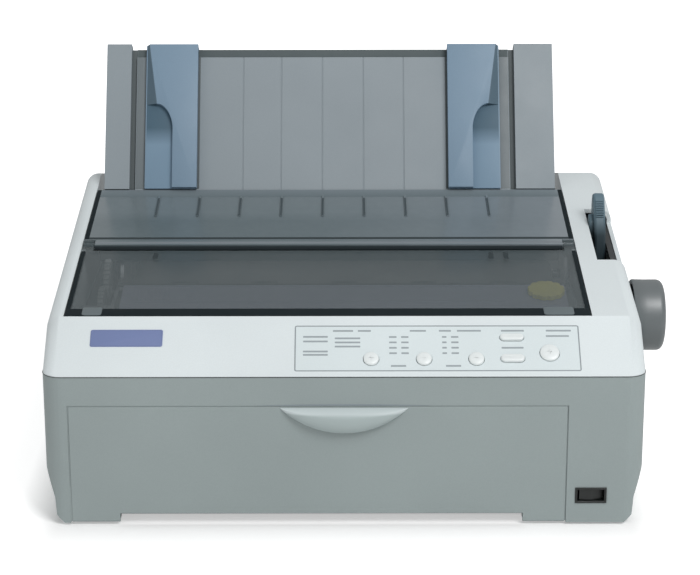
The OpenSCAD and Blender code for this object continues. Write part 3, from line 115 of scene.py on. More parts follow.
@dataclass(frozen=True)
class CaseFrame:
    """The case's own axes, whose zero is the middle of the front face on the table.

    The driving sizes are the ones that shape the case, in millimetres and degrees.
    """

    split_h: float = 102.2
    panel_run: float = 37.5
    panel_slope: float = 37.9
    cover_slope: float = 8.44
    guide_y: float = 250.0
    guide_lean: float = 28.5

    def point(self, x: float, y: float, z: float) -> Triple:
        """Gives a point of the case frame, in millimetres, in the model's frame."""
        low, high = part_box("lower_case")
        return ((low.x + high.x) / 2 + x * MM, low.y + y * MM, z * MM)

    def extent(self, node: str) -> tuple[np.ndarray, np.ndarray]:
        """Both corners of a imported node's box, in the case frame and in millimetres.

        Args:
            node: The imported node's name.

        Returns:
            The lower and the upper corner.
        """
        zero = np.array(self.point(0, 0, 0))
        low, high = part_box(node)
        return (np.array(low) - zero) / MM, (np.array(high) - zero) / MM

    def upright(self, x: float = 0.0, y: float = 0.0, z: float = 0.0) -> Plane:
        """A plane with the model's own axes and its origin at a case point."""
        return Plane(self.point(x, y, z))

    def front(self, x: float = 0.0, z: float = 0.0) -> Plane:
        """A plane on the front face: across is right, along is up, out is forward."""
        return Plane(self.point(x, 0, z), (1, 0, 0), (0, 0, 1), (0, -1, 0))

    def right(self, x: float, y: float, z: float) -> Plane:
        """A plane for turned parts: across points back, along is up, out is right."""
        return Plane(self.point(x, y, z), (0, 1, 0), (0, 0, 1), (1, 0, 0))

    def rear(self, x: float, y: float, z: float) -> Plane:
        """A plane on the rear face: across points left, along is up, out is back."""
        return Plane(self.point(x, y, z), (-1, 0, 0), (0, 0, 1), (0, 1, 0))

    def sideways(self) -> Plane:
        """A plane whose along direction is the width of the case."""
        return Plane(self.point(0, 0, 0), (0, 1, 0), (1, 0, 0), (0, 0, 1))

    def climbing(self, y: float, z: float, degrees: float) -> Plane:
        """A plane that climbs to the back by an angle, where out points away from it."""
        c, s = math.cos(math.radians(degrees)), math.sin(math.radians(degrees))
        return Plane(self.point(0, y, z), (1, 0, 0), (0, c, s), (0, -s, c))

    def slope(self) -> Plane:
        """The control slope, with its zero on the parting line."""
        return self.climbing(0, self.split_h, self.panel_slope)

    def crest_z(self, y: float) -> float:
        """Height of the covers' plane, in millimetres, at a distance y from the front."""
        top = self.split_h + self.panel_run * math.tan(math.radians(self.panel_slope))
        return top + (y - self.panel_run) * math.tan(math.radians(self.cover_slope))

    def covers(self) -> Plane:
        """The covers' plane, with its zero at the top of the control slope."""
        return self.climbing(self.panel_run, self.crest_z(self.panel_run), self.cover_slope)

    def guide(self) -> Plane:
        """The sheet guide's plane: along climbs the guide and out points forward."""
        return self.climbing(self.guide_y, self.crest_z(self.guide_y), 90 - self.guide_lean)


CASE = CaseFrame()


# --- Finishes ------------------------------------------------------------------------
class NodeBook:
    """A short hand for building one node tree."""

    def __init__(self, owner: bpy.types.Material | bpy.types.World,
                 output: str = "OutputMaterial") -> None:
        """Empties the owner's tree and adds its output node.

        Args:
            owner: The material or world whose tree is built.
            output: Type name of its output node.
        """
        owner.use_nodes = True
        self.owner, self.tree = owner, owner.node_tree
        self.tree.nodes.clear()
        self.output = self.add(output)
        self.coordinates = self.add("TexCoord").outputs["Object"]

    def put(self, value: object, target: Socket) -> None:
        """Wires a socket to a target, or sets a constant on it.

        Args:
            value: A socket or a constant.
            target: The input that takes it.
        """
        if isinstance(value, Socket):
            self.tree.links.new(value, target)
        else:
            target.default_value = value

    def add(self, kind: str, inputs: dict[str | int, object] | None = None,
            **values: object) -> bpy.types.Node:
        """Adds a node.

        Args:
            kind: The node's type name, without the ShaderNode before it.
            inputs: Sockets or constants for its inputs.
            values: Property names and their values.

        Returns:
            The new node.
        """
        node = self.tree.nodes.new("ShaderNode" + kind)
        for key, value in values.items():
            setattr(node, key, value)
        for key, value in (inputs or {}).items():
            self.put(value, node.inputs[key])
        return node

    def noise(self, size: float, detail: float = 2.0, stretch: Triple = (1, 1, 1),
              roughness: float = 0.5) -> Socket:
        """A noise whose cells are about size metres wide.

        Args:
            size: Width of a cell, in metres.
            detail: Number of finer octaves.
            stretch: Factors on the three axes, where less than 1 draws the cells out.
            roughness: Strength of the finer octaves.

        Returns:
            The noise's value, about 0.5 in the middle.
        """
        mapping = self.add("Mapping", {"Vector": self.coordinates, "Scale": stretch})
        noise = self.add("TexNoise", {"Vector": mapping.outputs["Vector"], "Scale": 1 / size,
                                      "Detail": detail, "Roughness": roughness})
        return noise.outputs["Fac"]

    def math(self, operation: str, first: Socket, second: Socket) -> Socket:
        """One step of arithmetic."""
        return self.add("Math", {0: first, 1: second}, operation=operation).outputs[0]

    def vector(self, operation: str, first: Socket, second: Triple = (0, 0, 0),
               output: str = "Vector") -> Socket:
        """One step of vector arithmetic, with a socket and a constant vector."""
        return self.add("VectorMath", {0: first, 1: second},
                        operation=operation).outputs[output]

    def span(self, source: Socket, low: object, high: float, start: float = 0.3,
             end: float = 0.7) -> Socket:
        """Maps a value from start..end to low..high, held at both ends."""
        return self.add("MapRange", {"Value": source, "From Min": start, "From Max": end,
                                     "To Min": low, "To Max": high}).outputs["Result"]

    def along(self, plane: Plane, start: float, end: float) -> Socket:
        """A share that goes from 0 to 1 between two distances along a plane, in mm.

        Args:
            plane: The plane, along whose second axis the distances run.
            start, end: Distances at which the share is 0 and 1.

        Returns:
            The share.
        """
        way = self.vector("DOT_PRODUCT", self.coordinates, plane.along, "Value")
        zero = float(np.dot(plane.origin, plane.along))
        return self.span(way, 0, 1, zero + start * MM, zero + end * MM)

    def blend(self, share: Socket, first: object, second: object) -> Socket:
        """Mixes two colours, each a socket or three numbers, by a share from 0 to 1.

        Args:
            share: Share of the second colour.
            first, second: The two colours.

        Returns:
            The mixed colour.
        """
        sides = [side if isinstance(side, Socket) else (*side, 1.0) for side in (first, second)]
        return self.add("Mix", {"Factor": share, 6: sides[0], 7: sides[1]},
                        data_type="RGBA").outputs[2]

    def principled(self, bumps: list[tuple[Socket, float]], **values: object) -> Socket:
        """Adds a Principled shader.

        Args:
            bumps: Height values from 0 to 1, each with its depth in metres.
            values: Sockets or constants for its inputs, with _ for a space.

        Returns:
            The shader's output.
        """
        shader = self.add("BsdfPrincipled", {key.replace("_", " "): value
                                             for key, value in values.items()})
        normal = {}
        for height, depth in bumps:
            bump = self.add("Bump", {"Strength": 1.0, "Distance": depth, "Height": height,
                                     **normal})
            normal = {"Normal": bump.outputs["Normal"]}
        if normal:
            self.put(normal["Normal"], shader.inputs["Normal"])
        return shader.outputs["BSDF"]

    def finish(self, bumps: list[tuple[Socket, float]], **values: object
               ) -> bpy.types.Material:
        """Ends a material with a Principled shader and hands it over."""
        self.put(self.principled(bumps, **values), self.output.inputs["Surface"])
        return self.owner


@dataclass(frozen=True)
class Finish:
    """A named finish with its main colour."""

    name: str
    colour: Triple

    def book(self) -> NodeBook:
        """Starts the finish's material."""
        return NodeBook(bpy.data.materials.new(self.name))

    def material(self) -> bpy.types.Material:
        """Builds the material."""
        raise NotImplementedError


@dataclass(frozen=True)
class Moulded(Finish):
    """Spark-eroded moulded plastic: fine grain, slow drift of shade, handled sheen."""

    roughness: float = 0.5
    grain: float = 0.45 * MM
    depth: float = 0.018 * MM
    drift: float = 0.03
    speckle: float = 0.12
    gloss: float = 0.5

    def material(self) -> bpy.types.Material:
        """Builds the material, with colour drift, speckle, handled patches and grain.

        Returns:
            The material with its nodes.
        """
        book = self.book()
        base = book.blend(book.span(book.noise(90 * MM), 0, 1),
                          scaled(self.colour, 1 - self.drift),
                          scaled(self.colour, 1 + self.drift))
        fine = book.span(book.noise(0.7 * MM, 1), 0, self.speckle, 0.35, 0.65)
        patch = book.noise(34 * MM, 4, roughness=0.6)
        grain = book.noise(self.grain, 2, roughness=0.6)
        return book.finish([(grain, self.depth), (book.noise(60 * MM, 1), 0.08 * MM)],
                           Base_Color=book.blend(fine, base, scaled(self.colour, 0.75)),
                           Roughness=book.span(patch, self.roughness - 0.06,
                                               self.roughness + 0.08),
                           IOR=1.52, Specular_IOR_Level=self.gloss)


@dataclass(frozen=True)
class PaintedShading(Finish):
    """Moulded plastic whose colour changes along a plane of the case, as painted light: painted
    shadow on the lever and the edge guides' pockets, a painted highlight on the grip and a
    painted reflection on the rear rim.

    start and end are the distances along the plane, in millimetres, between which the
    colour passes over into the shaded one.
    """

    shaded: Triple
    plane: Callable[[], Plane]
    start: float
    end: float

    def material(self) -> bpy.types.Material:
        """Builds the material.

        Returns:
            The material with its nodes.
        """
        book = self.book()
        share = book.along(self.plane(), self.start, self.end)
        return book.finish([(book.noise(0.45 * MM), 0.018 * MM)],
                           Base_Color=book.blend(share, self.colour, self.shaded),
                           Roughness=book.span(book.noise(34 * MM, 4), 0.45, 0.6),
                           IOR=1.52, Specular_IOR_Level=0.3)


@dataclass(frozen=True)
class Smoked(Finish):
    """Tinted see-through plastic with fine scratches and a trace of dust.

    cover says how much it hides. With a rear colour, the tint passes over to it between
    the two distances of turn on the covers' plane. With a side colour, a painted highlight,
    it then passes over to that colour over the distances of highlight_turn across the case.
    """

    cover: float = 0.6
    roughness: float = 0.12
    dust: float = 0.02
    rear: Triple | None = None
    turn: Span = (0.0, 1.0)
    # side: colour of a painted highlight that lightens the tint across the case.
    side: Triple | None = None
    highlight_turn: Span = (-30.0, 190.0)

    def material(self) -> bpy.types.Material:
        """Builds the material.

        Returns:
            The material with its nodes.
        """
        book = self.book()
        tint = self.colour
        for colour, plane, turn in ((self.rear, CASE.covers(), self.turn),
                                    (self.side, CASE.sideways(), self.highlight_turn)):
            if colour:
                tint = book.blend(book.along(plane, *turn), tint, colour)
        dust = book.noise(7 * MM, 5, roughness=0.65)
        drift = book.noise(160 * MM)
        tint = book.blend(book.span(drift, 0, 0.1), tint, srgb(150, 160, 164))
        tint = book.blend(book.span(dust, 0, self.dust, 0.4, 0.75), tint, srgb(150, 155, 158))
        scratch = book.noise(0.5 * MM, 3, (0.06, 1, 1))
        return book.finish([(drift, 0.1 * MM)], Base_Color=tint, IOR=1.49,
                           Roughness=book.span(scratch, self.roughness - 0.02,
                                               self.roughness + 0.03),
                           Alpha=book.span(dust, self.cover - 0.01, self.cover + 0.03,
                                           0.3, 0.75))


@dataclass(frozen=True)
class Elastic(Finish):
    """Rubber with a ground, slightly dusty surface."""

    roughness: float = 0.75

    def material(self) -> bpy.types.Material:
        """Builds the material.

        Returns:
            The material with its nodes.
        """
        book = self.book()
        dust = book.noise(4 * MM, 5, roughness=0.7)
        shade = book.blend(book.span(dust, 0, 0.35, 0.45, 0.8), self.colour,
                           scaled(self.colour, 2.2))
        return book.finish([(book.noise(0.3 * MM, 3), 0.03 * MM)], Base_Color=shade,
                           Roughness=book.span(dust, self.roughness - 0.08,
                                               self.roughness + 0.1))


class Grain(Enum):
    """Directions in which a metal surface is drawn or ground."""

    ALONG_X = (0.02, 1.0, 1.0)
    ALONG_Z = (1.0, 1.0, 0.02)
    SPANGLED = (1.0, 1.0, 1.0)


@dataclass(frozen=True)
class Metal(Finish):
    """Bare or plated metal, drawn in one direction or left spangled."""

    roughness: float = 0.3
    grain: Grain = Grain.SPANGLED

    def material(self) -> bpy.types.Material:
        """Builds the material.

        Returns:
            The material with its nodes.
        """
        book = self.book()
        if self.grain is Grain.SPANGLED:
            cells = book.add("TexVoronoi", {"Scale": 1 / (6 * MM), "Vector": book.coordinates})
            streak = book.add("SeparateColor", {"Color": cells.outputs["Color"]}).outputs[0]
        else:
            streak = book.noise(0.5 * MM, 3, self.grain.value)
        smear = book.noise(18 * MM, 4, roughness=0.6)
        shade = book.blend(book.span(streak, 0, 1, 0.2, 0.8), scaled(self.colour, 0.88),
                           scaled(self.colour, 1.08))
        worn = book.blend(book.span(smear, 0, 0.3, 0.5, 0.8), shade, scaled(self.colour, 0.6))
        return book.finish([(streak, 0.006 * MM)], Base_Color=worn, Metallic=1.0,
                           Roughness=book.span(smear, self.roughness - 0.06,
                                               self.roughness + 0.14))


@dataclass(frozen=True)
class Laminate(Finish):
    """Circuit board laminate: solder mask over a faint pattern of copper lines."""

    copper: Triple

    def material(self) -> bpy.types.Material:
        """Builds the material, with fine lines that change direction by area.

        Returns:
            The material with its nodes.
        """
        book = self.book()
        area = book.add("TexVoronoi", {"Scale": 1 / (17 * MM), "Vector": book.coordinates},
                        feature="F1", distance="CHEBYCHEV")
        split = book.add("SeparateColor", {"Color": area.outputs["Color"]}).outputs
        shade, bumps = self.colour, []
        for axis, size, part, start in (("X", 1.3 * MM, split[0], 0.45),
                                        ("Y", 1.7 * MM, split[1], 0.5)):
            wave = book.add("TexWave", {"Scale": 1 / (size * 20), "Distortion": 0.0,
                                        "Vector": book.coordinates}, bands_direction=axis)
            line = book.math("MULTIPLY", book.span(wave.outputs["Fac"], 0, 1, 0.55, 0.65),
                             book.span(part, 0, 1, start, start + 0.05))
            shade = book.blend(line, shade, self.copper)
            bumps.append((line, 0.03 * MM))
        return book.finish(bumps, Base_Color=shade,
                           Roughness=book.span(book.noise(9 * MM, 3), 0.28, 0.45))


SMOOTH = {"grain": 0.3 * MM, "depth": 0.006 * MM}
FINISHES = {finish.name: finish for finish in (
    Moulded("case_grey", srgb(147, 158, 158)),
    Moulded("case_light", srgb(218, 226, 228)),
    Elastic("foot_rubber", srgb(46, 47, 48)),
    Metal("screw_steel", srgb(180, 180, 182), 0.32),
    Smoked("smoke_window", srgb(84, 97, 101), 0.44, 0.16),
    # smoke_cover: its side colour is a painted highlight, lighter towards the right where the
    # light falls.
    Smoked("smoke_cover", srgb(96, 109, 114), 0.93, 0.2, rear=srgb(110, 122, 127),
           turn=(156.0, 172.0), side=srgb(124, 134, 141)),
    Moulded("guide_grey", srgb(136, 146, 152)),
    Moulded("guide_blue", srgb(118, 142, 162)),
    Moulded("panel_light", srgb(214, 224, 226), 0.42, 0.3 * MM, 0.008 * MM),
    Laminate("board_green", srgb(30, 88, 58), srgb(70, 130, 78)),
    Laminate("board_amber", srgb(150, 118, 62), srgb(176, 140, 70)),
    Moulded("badge_blue", srgb(112, 126, 168), 0.3, 0.3 * MM, 0.004 * MM),
    Moulded("button_white", srgb(226, 232, 232), 0.38, **SMOOTH),
    Moulded("switch_black", srgb(22, 26, 25), 0.35, 0.3 * MM, 0.008 * MM),
    # lever_blue: dark at the foot and lighter up the lever, a painted shadow where the lever
    # sinks into its slot.
    PaintedShading("lever_blue", srgb(42, 56, 62), srgb(92, 114, 125), CASE.front, 148.0, 163.0),
    Moulded("black_plastic", srgb(40, 44, 45)),
    Moulded("knob_grey", srgb(92, 99, 101), 0.42, 0.4 * MM, 0.008 * MM, gloss=0.9),
    Elastic("platen_rubber", srgb(38, 42, 43), 0.6),
    Moulded("gear_plastic", srgb(150, 154, 154), 0.4, **SMOOTH),
    Metal("pinion_brass", srgb(205, 170, 98), 0.3, Grain.ALONG_X),
    Metal("rod_steel", srgb(184, 186, 188), 0.24, Grain.ALONG_X),
    Metal("sheet_steel", srgb(158, 162, 164), 0.5),
    Metal("motor_metal", srgb(138, 142, 144), 0.52, Grain.ALONG_Z),
    Elastic("belt_rubber", srgb(34, 34, 35)),
    Metal("head_metal", srgb(86, 90, 93), 0.45),
    Moulded("cartridge_grey", srgb(150, 153, 172)),
    Moulded("knob_olive", srgb(232, 222, 92), 0.45),
    Metal("port_metal", srgb(172, 176, 178), 0.35),
    # The grip's upper face is painted lighter: a painted highlight.
    PaintedShading("grip_painted_highlight", srgb(168, 180, 180), srgb(194, 204, 205), CASE.front, 77.6, 79.0),
    Moulded("shadow_grey", srgb(70, 76, 76), 0.6, gloss=0.2),
    Moulded("lip_black", srgb(30, 38, 41), 0.7, gloss=0.06, **SMOOTH),
    Moulded("smoke_pad", srgb(102, 112, 115), gloss=0.2, **SMOOTH),
    Moulded("bead_grey", srgb(114, 123, 129), 0.4, **SMOOTH),
    # groove_grey: painted shade in the groove behind the bead; also the colour of the window's
    # marks.
    Moulded("groove_grey", srgb(58, 66, 69), 0.7, gloss=0.08),
    Moulded("band_grey", srgb(104, 113, 117)),
    Moulded("band_dark", srgb(88, 97, 99), 0.6, gloss=0.15),
    # Painted shade for the slanted flank of the edge guides.
    Moulded("wedge_painted_shade", srgb(76, 98, 112)),
    # Painted shade for the bead's front face.
    Moulded("bead_painted_shade", srgb(56, 64, 68), gloss=0.1),
    # Painted shade for the ribs of the rear cover.
    Moulded("rib_painted_shade", srgb(66, 76, 80), 0.6, gloss=0.15),
    Moulded("guide_shade", srgb(94, 101, 103), 0.6, gloss=0.15),
    # Blue that darkens towards the shoulder: painted shadow under the edge guide's head.
    PaintedShading("pocket_painted_shadow", srgb(116, 141, 161), srgb(70, 95, 111), CASE.guide, 34.0, 47.0),
    # Lighter towards the rear edge of the cover: a painted reflection.
    PaintedShading("rear_painted_reflection", srgb(100, 112, 117), srgb(118, 129, 135), CASE.covers, 201.0, 212.5),
    Moulded("ink_grey", srgb(152, 161, 165), 0.5, 0.3 * MM, 0.004 * MM),
    Moulded("line_grey", srgb(140, 148, 152)),
)}


@cache
def paint_of(slot: str) -> bpy.types.Material:
    """The material of a named finish, made when it is first asked for."""
    return FINISHES[slot].material()


NODE_SLOTS = {part["node"]: part["material_slot"] for part in frame["record"]["subparts"]}
NODE_BODIES = {node: body for body, nodes in frame["record"]["behaviour"]["bodies"].items()
               for node in nodes}


def dress(node: str) -> None:
    """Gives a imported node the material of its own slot.

    Args:
        node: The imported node's name.
    """
    paint = paint_of(NODE_SLOTS[node])
    mesh = frame["nodes"][node].data
    if not mesh.materials:
        mesh.materials.append(paint)
    for index in range(len(mesh.materials)):
        mesh.materials[index] = paint
    log.info("dressed %s", node)


# --- Shapes: closed surfaces from profiles, outlines and paths, in millimetres --------
@dataclass(frozen=True)
class Shape:
    """One or more closed surfaces.

    points holds the corners in millimetres, as rows of three. faces holds blocks, each
    an array with one face per row, so that every block's faces have as many corners.
    """

    points: np.ndarray
    faces: tuple[np.ndarray, ...]

    def volume(self) -> float:
        """Signed volume: the sum over faces of area vector . centre / 3.

        Returns:
            The volume, which is negative where the faces point inwards.
        """
        total = 0.0
        for block in self.faces:
            corners = self.points[block]
            areas = np.cross(corners, np.roll(corners, -1, axis=1)).sum(axis=1) / 2
            total += float((areas * corners.mean(axis=1)).sum()) / 3
        return total

    def outward(self) -> "Shape":
        """The same surface with its faces turned outwards.

        Returns:
            The shape itself, or a copy that is turned.
        """
        if self.volume() >= 0:
            return self
        return Shape(self.points, tuple(block[:, ::-1] for block in self.faces))

    def shift(self, x: float = 0.0, y: float = 0.0, z: float = 0.0) -> "Shape":
        """The shape moved by three distances."""
        return Shape(self.points + np.array([x, y, z]), self.faces)

    def at(self, places: list[Triple]) -> "Shape":
        """Copies of the shape, one at each place."""
        return join([self.shift(*place) for place in places])


def join(shapes: list[Shape]) -> Shape:
    """Several shapes as one.

    Args:
        shapes: The shapes, in the order in which they are kept.

    Returns:
        One shape with all their surfaces.
    """
    starts = np.cumsum([0] + [len(shape.points) for shape in shapes])
    blocks = [block + start for shape, start in zip(shapes, starts) for block in shape.faces]
    return Shape(np.concatenate([shape.points for shape in shapes]), tuple(blocks))


def loft(rows: np.ndarray, ring: bool = False) -> Shape:
    """Skins a row of closed sections.

    Args:
        rows: Array (n, k, 3): n sections of k points each.
        ring: Whether the last section meets the first; otherwise both ends are capped.

    Returns:
        The closed surface. Face (i, j) joins points (i, j), (i, j+1), (i+1, j+1), (i+1, j).
    """
    count, corners = rows.shape[:2]
    index = np.arange(count * corners).reshape(count, corners)
    after = np.roll(index, -1, axis=1)
    sides = [index, after, np.roll(after, -1, axis=0), np.roll(index, -1, axis=0)]
    quads = np.stack(sides, axis=-1)[:None if ring else -1]
    caps = [] if ring else [index[:1, ::-1], index[-1:]]
    return Shape(rows.reshape(-1, 3), (quads.reshape(-1, 4), *caps)).outward()


def level(outline: np.ndarray, height: float) -> np.ndarray:
    """The points of a flat outline at one height."""
    return np.column_stack([outline, np.full(len(outline), height)])


def stack(levels: list[tuple[np.ndarray, float]], ring: bool = False) -> Shape:
    """Skins flat outlines, each given with its height."""
    return loft(np.array([level(*pair) for pair in levels]), ring)


def polar(radius: np.ndarray | float, angle: np.ndarray) -> np.ndarray:
    """The flat points r (cos a, sin a)."""
    return np.column_stack([radius * np.cos(angle), radius * np.sin(angle)])


def round_turn(steps: int) -> np.ndarray:
    """Angles of a whole turn, from 0 to below 2 pi."""
    return np.linspace(0, 2 * math.pi, steps, endpoint=False)


def quarter(steps: int = 4) -> np.ndarray:
    """Angles of a quarter turn, from 0 to pi/2."""
    return np.linspace(0, math.pi / 2, steps + 1)


def circle(radius: float, steps: int) -> np.ndarray:
    """Counterclockwise outline of a circle."""
    return polar(radius, round_turn(steps))


def unit(vectors: np.ndarray) -> np.ndarray:
    """The vectors of unit length along the rows."""
    return vectors / np.linalg.norm(vectors, axis=-1, keepdims=True)


def inset(outline: np.ndarray, distance: float) -> np.ndarray:
    """Moves a closed outline inwards by mitred corners.

    A corner p between unit edges with inward normals a and b goes to
    p + distance * (a + b) / (1 + a . b).

    Args:
        outline: Array (k, 2), counterclockwise.
        distance: How far each side moves in.

    Returns:
        The smaller outline, with as many points.
    """
    edge = unit(np.roll(outline, -1, axis=0) - outline)
    normal = np.stack([-edge[:, 1], edge[:, 0]], axis=1)
    before = np.roll(normal, 1, axis=0)
    share = 1 + (normal * before).sum(axis=1, keepdims=True)
    return outline + distance * (normal + before) / share


def slab(outline: np.ndarray, low: float, high: float, rim_low: float = 0.0,
         rim_high: float = 0.3, steps: int = 3) -> Shape:
    """A plate over a counterclockwise outline, with rounded rims.

    Over the quarter turn t of a rim of radius r, the outline moves in by r (1 - cos t)
    while the height gains r sin t, and the lower rim mirrors this.

    Args:
        outline: Array (k, 2), counterclockwise.
        low, high: Heights of both faces.
        rim_low, rim_high: Radii of the rims, where 0 leaves a sharp one.
        steps: Faces over one rim.

    Returns:
        The closed plate.
    """
    levels = []
    for face, rim, side in ((low, rim_low, 1), (high, rim_high, -1)):
        angles = quarter(steps)[::-side] if rim > 0 else [0.0]
        levels += [(inset(outline, rim * (1 - math.cos(t))),
                    face + side * rim * (1 - math.sin(t))) for t in angles]
    return stack(levels)


def revolve(profile: list[Span], steps: int = 64) -> Shape:
    """A turned body: the point (r, z) of the profile runs round r (cos a, sin a), z."""
    return stack([(circle(radius, steps), height) for radius, height in profile])


def mirrored(profile: list[Span]) -> list[Span]:
    """A profile followed by its own mirror image about height 0."""
    return profile + [(radius, -height) for radius, height in profile[::-1]]


def sweep(section: np.ndarray, path: np.ndarray, up: Triple = (0, 0, 1),
          ring: bool = False) -> Shape:
    """Carries a section along a path.

    At a path point with tangent t the section's point (a, b) lies at
    p + a (t x up) + b ((t x up) x t), with unit vectors.

    Args:
        section: Array (k, 2), a closed outline across the path.
        path: Array (n, 3) of the points along the path.
        up: Direction to which the second axis of the section leans.
        ring: Whether the path is closed.

    Returns:
        The closed surface.
    """
    tangent = unit(np.roll(path, -1, axis=0) - np.roll(path, 1, axis=0) if ring
                   else np.gradient(path, axis=0))
    side = unit(np.cross(tangent, np.array(up, float)))
    top = np.cross(side, tangent)
    rows = path[:, None] + section[None, :, :1] * side[:, None] \
        + section[None, :, 1:] * top[:, None]
    return loft(rows, ring)


def rectangle(width: float, depth: float, radius: float = 0.0, steps: int = 5) -> np.ndarray:
    """Counterclockwise outline of a rectangle with rounded corners, centred on zero.

    Args:
        width, depth: Lengths of its sides.
        radius: Radius of its corners, where 0 leaves them sharp.
        steps: Chords over one corner.

    Returns:
        Array (k, 2) of its points.
    """
    corners = np.array([[1, -1], [1, 1], [-1, 1], [-1, -1]])
    if radius <= 0:
        return corners * [width / 2, depth / 2]
    centres = corners * [width / 2 - radius, depth / 2 - radius]
    return np.concatenate([centre + polar(radius, quarter(steps) + math.pi / 2 * start)
                           for centre, start in zip(centres, (-1, 0, 1, 2))])


def edging(width: float, depth: float, radius: float, steps: int, bar: np.ndarray,
           height: float = 0.0) -> Shape:
    """A bar that runs round a rounded rectangle at one height."""
    return sweep(bar, level(rectangle(width, depth, radius, steps), height), ring=True)


def block(x0: float, x1: float, y0: float, y1: float, z0: float, z1: float,
          corner: float = 0.5, rim: float = 0.3) -> Shape:
    """A block between two values on each axis, with rounded corners and rims."""
    return slab(rectangle(x1 - x0, y1 - y0, corner), z0, z1, rim, rim) \
        .shift((x0 + x1) / 2, (y0 + y1) / 2)


def fillet(points: list[Span], radius: float, steps: int = 5) -> np.ndarray:
    """Rounds the corners of a counterclockwise polygon.

    Each corner p is replaced by the quadratic curve (1-u)^2 s + 2u(1-u) p + u^2 e
    between points s and e on its edges, at the given distance or less from it.

    Args:
        points: The polygon's corners.
        radius: Distance from a corner at which its curve starts.
        steps: Chords over one corner.

    Returns:
        Array (k, 2) of the rounded outline.
    """
    corner = np.array(points, float)
    sides = [np.roll(corner, step, axis=0) - corner for step in (1, -1)]
    lengths = [np.linalg.norm(side, axis=1, keepdims=True) for side in sides]
    reach = np.minimum(radius, np.minimum(*lengths) * 0.45)
    start, end = (corner + side / length * reach for side, length in zip(sides, lengths))
    u = np.linspace(0, 1, steps + 1)[None, :, None]
    curve = (1 - u) ** 2 * start[:, None] + 2 * u * (1 - u) * corner[:, None] \
        + u ** 2 * end[:, None]
    return curve.reshape(-1, 2)


# --- Pieces --------------------------------------------------------------------------
def add_object(name: str, data: bpy.types.ID) -> bpy.types.Object:
    """Links a new object with the given data to the scene.

    Args:
        name: The object's name.
        data: Its mesh, lamp or camera.

    Returns:
        The new object.
    """
    added = bpy.data.objects.new(name, data)
    bpy.context.scene.collection.objects.link(added)
    return added


def add_piece(name: str, mesh: bpy.types.Mesh, node: str, paint: str, sharp: float
              ) -> bpy.types.Object:
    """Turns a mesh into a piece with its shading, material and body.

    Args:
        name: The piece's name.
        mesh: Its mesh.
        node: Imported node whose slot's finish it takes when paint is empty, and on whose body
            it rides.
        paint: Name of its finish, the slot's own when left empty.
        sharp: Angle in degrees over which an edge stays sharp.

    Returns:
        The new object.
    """
    mesh.polygons.foreach_set("use_smooth", np.ones(len(mesh.polygons), bool))
    mesh.set_sharp_from_angle(angle=math.radians(sharp))
    mesh.update()
    mesh.materials.append(paint_of(paint or NODE_SLOTS[node]))
    piece = add_object(name, mesh)
    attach(piece, NODE_BODIES[node])
    log.info("made %s", name)
    return piece


def make(name: str, shape: Shape | list[Shape], plane: Plane, node: str, paint: str = "",
         replaces: bool = False, sharp: float = 34.0) -> None:
    """Makes a visual piece from one shape or several.

    Args:
        name: The piece's name.
        shape: Its surface, in the plane's axes and in millimetres.
        plane: Where the shape is.
        node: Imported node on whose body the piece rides.
        paint: Finish, the one of the node's slot when left empty.
        replaces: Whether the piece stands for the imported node.
        sharp: Angle in degrees over which an edge stays sharp.
    """
    shape = join(shape) if isinstance(shape, list) else shape
    mesh = bpy.data.meshes.new(name)
    mesh.from_pydata(plane.place(shape.points).tolist(), [],
                     [row for faces in shape.faces for row in faces.tolist()])
    piece = add_piece(name, mesh, node, paint, sharp)
    if replaces:
        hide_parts(node)


def soften(node: str, width: float = 0.35, paint: str = "",
           change: Callable[[bmesh.types.BMesh], None] | None = None) -> None:
    """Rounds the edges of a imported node, as moulding or deburring would.

    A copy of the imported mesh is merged, its flat faces are joined, and a narrow bevel
    goes on every edge that turns by more than 32 degrees. The copy replaces the node.

    Args:
        node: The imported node.
        width: Width of the bevel in millimetres.
        paint: Finish, the one of the node's slot when left empty.
        change: What else to do to the merged copy.
    """
    sharp = 32
    work = bmesh.new()
    work.from_mesh(frame["nodes"][node].data)
    bmesh.ops.remove_doubles(work, verts=work.verts, dist=2e-6)
    if change is not None:
        change(work)
    bmesh.ops.dissolve_degenerate(work, edges=work.edges, dist=1e-6)
    bmesh.ops.dissolve_limit(work, angle_limit=math.radians(0.4), verts=work.verts,
                             edges=work.edges)
    mesh = bpy.data.meshes.new(node + "_softened")
    work.to_mesh(mesh)
    work.free()
    piece = add_piece(mesh.name, mesh, node, paint, sharp)
    bevel = piece.modifiers.new("edges", "BEVEL")
    bevel.width = width * MM
    bevel.segments = 2
    bevel.limit_method = "ANGLE"
    bevel.angle_limit = math.radians(sharp)
    bevel.use_clamp_overlap = True
    shading = piece.modifiers.new("flat_faces", "WEIGHTED_NORMAL")
    shading.mode = "FACE_AREA"
    shading.weight = 100
    shading.keep_sharp = True
    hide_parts(node)


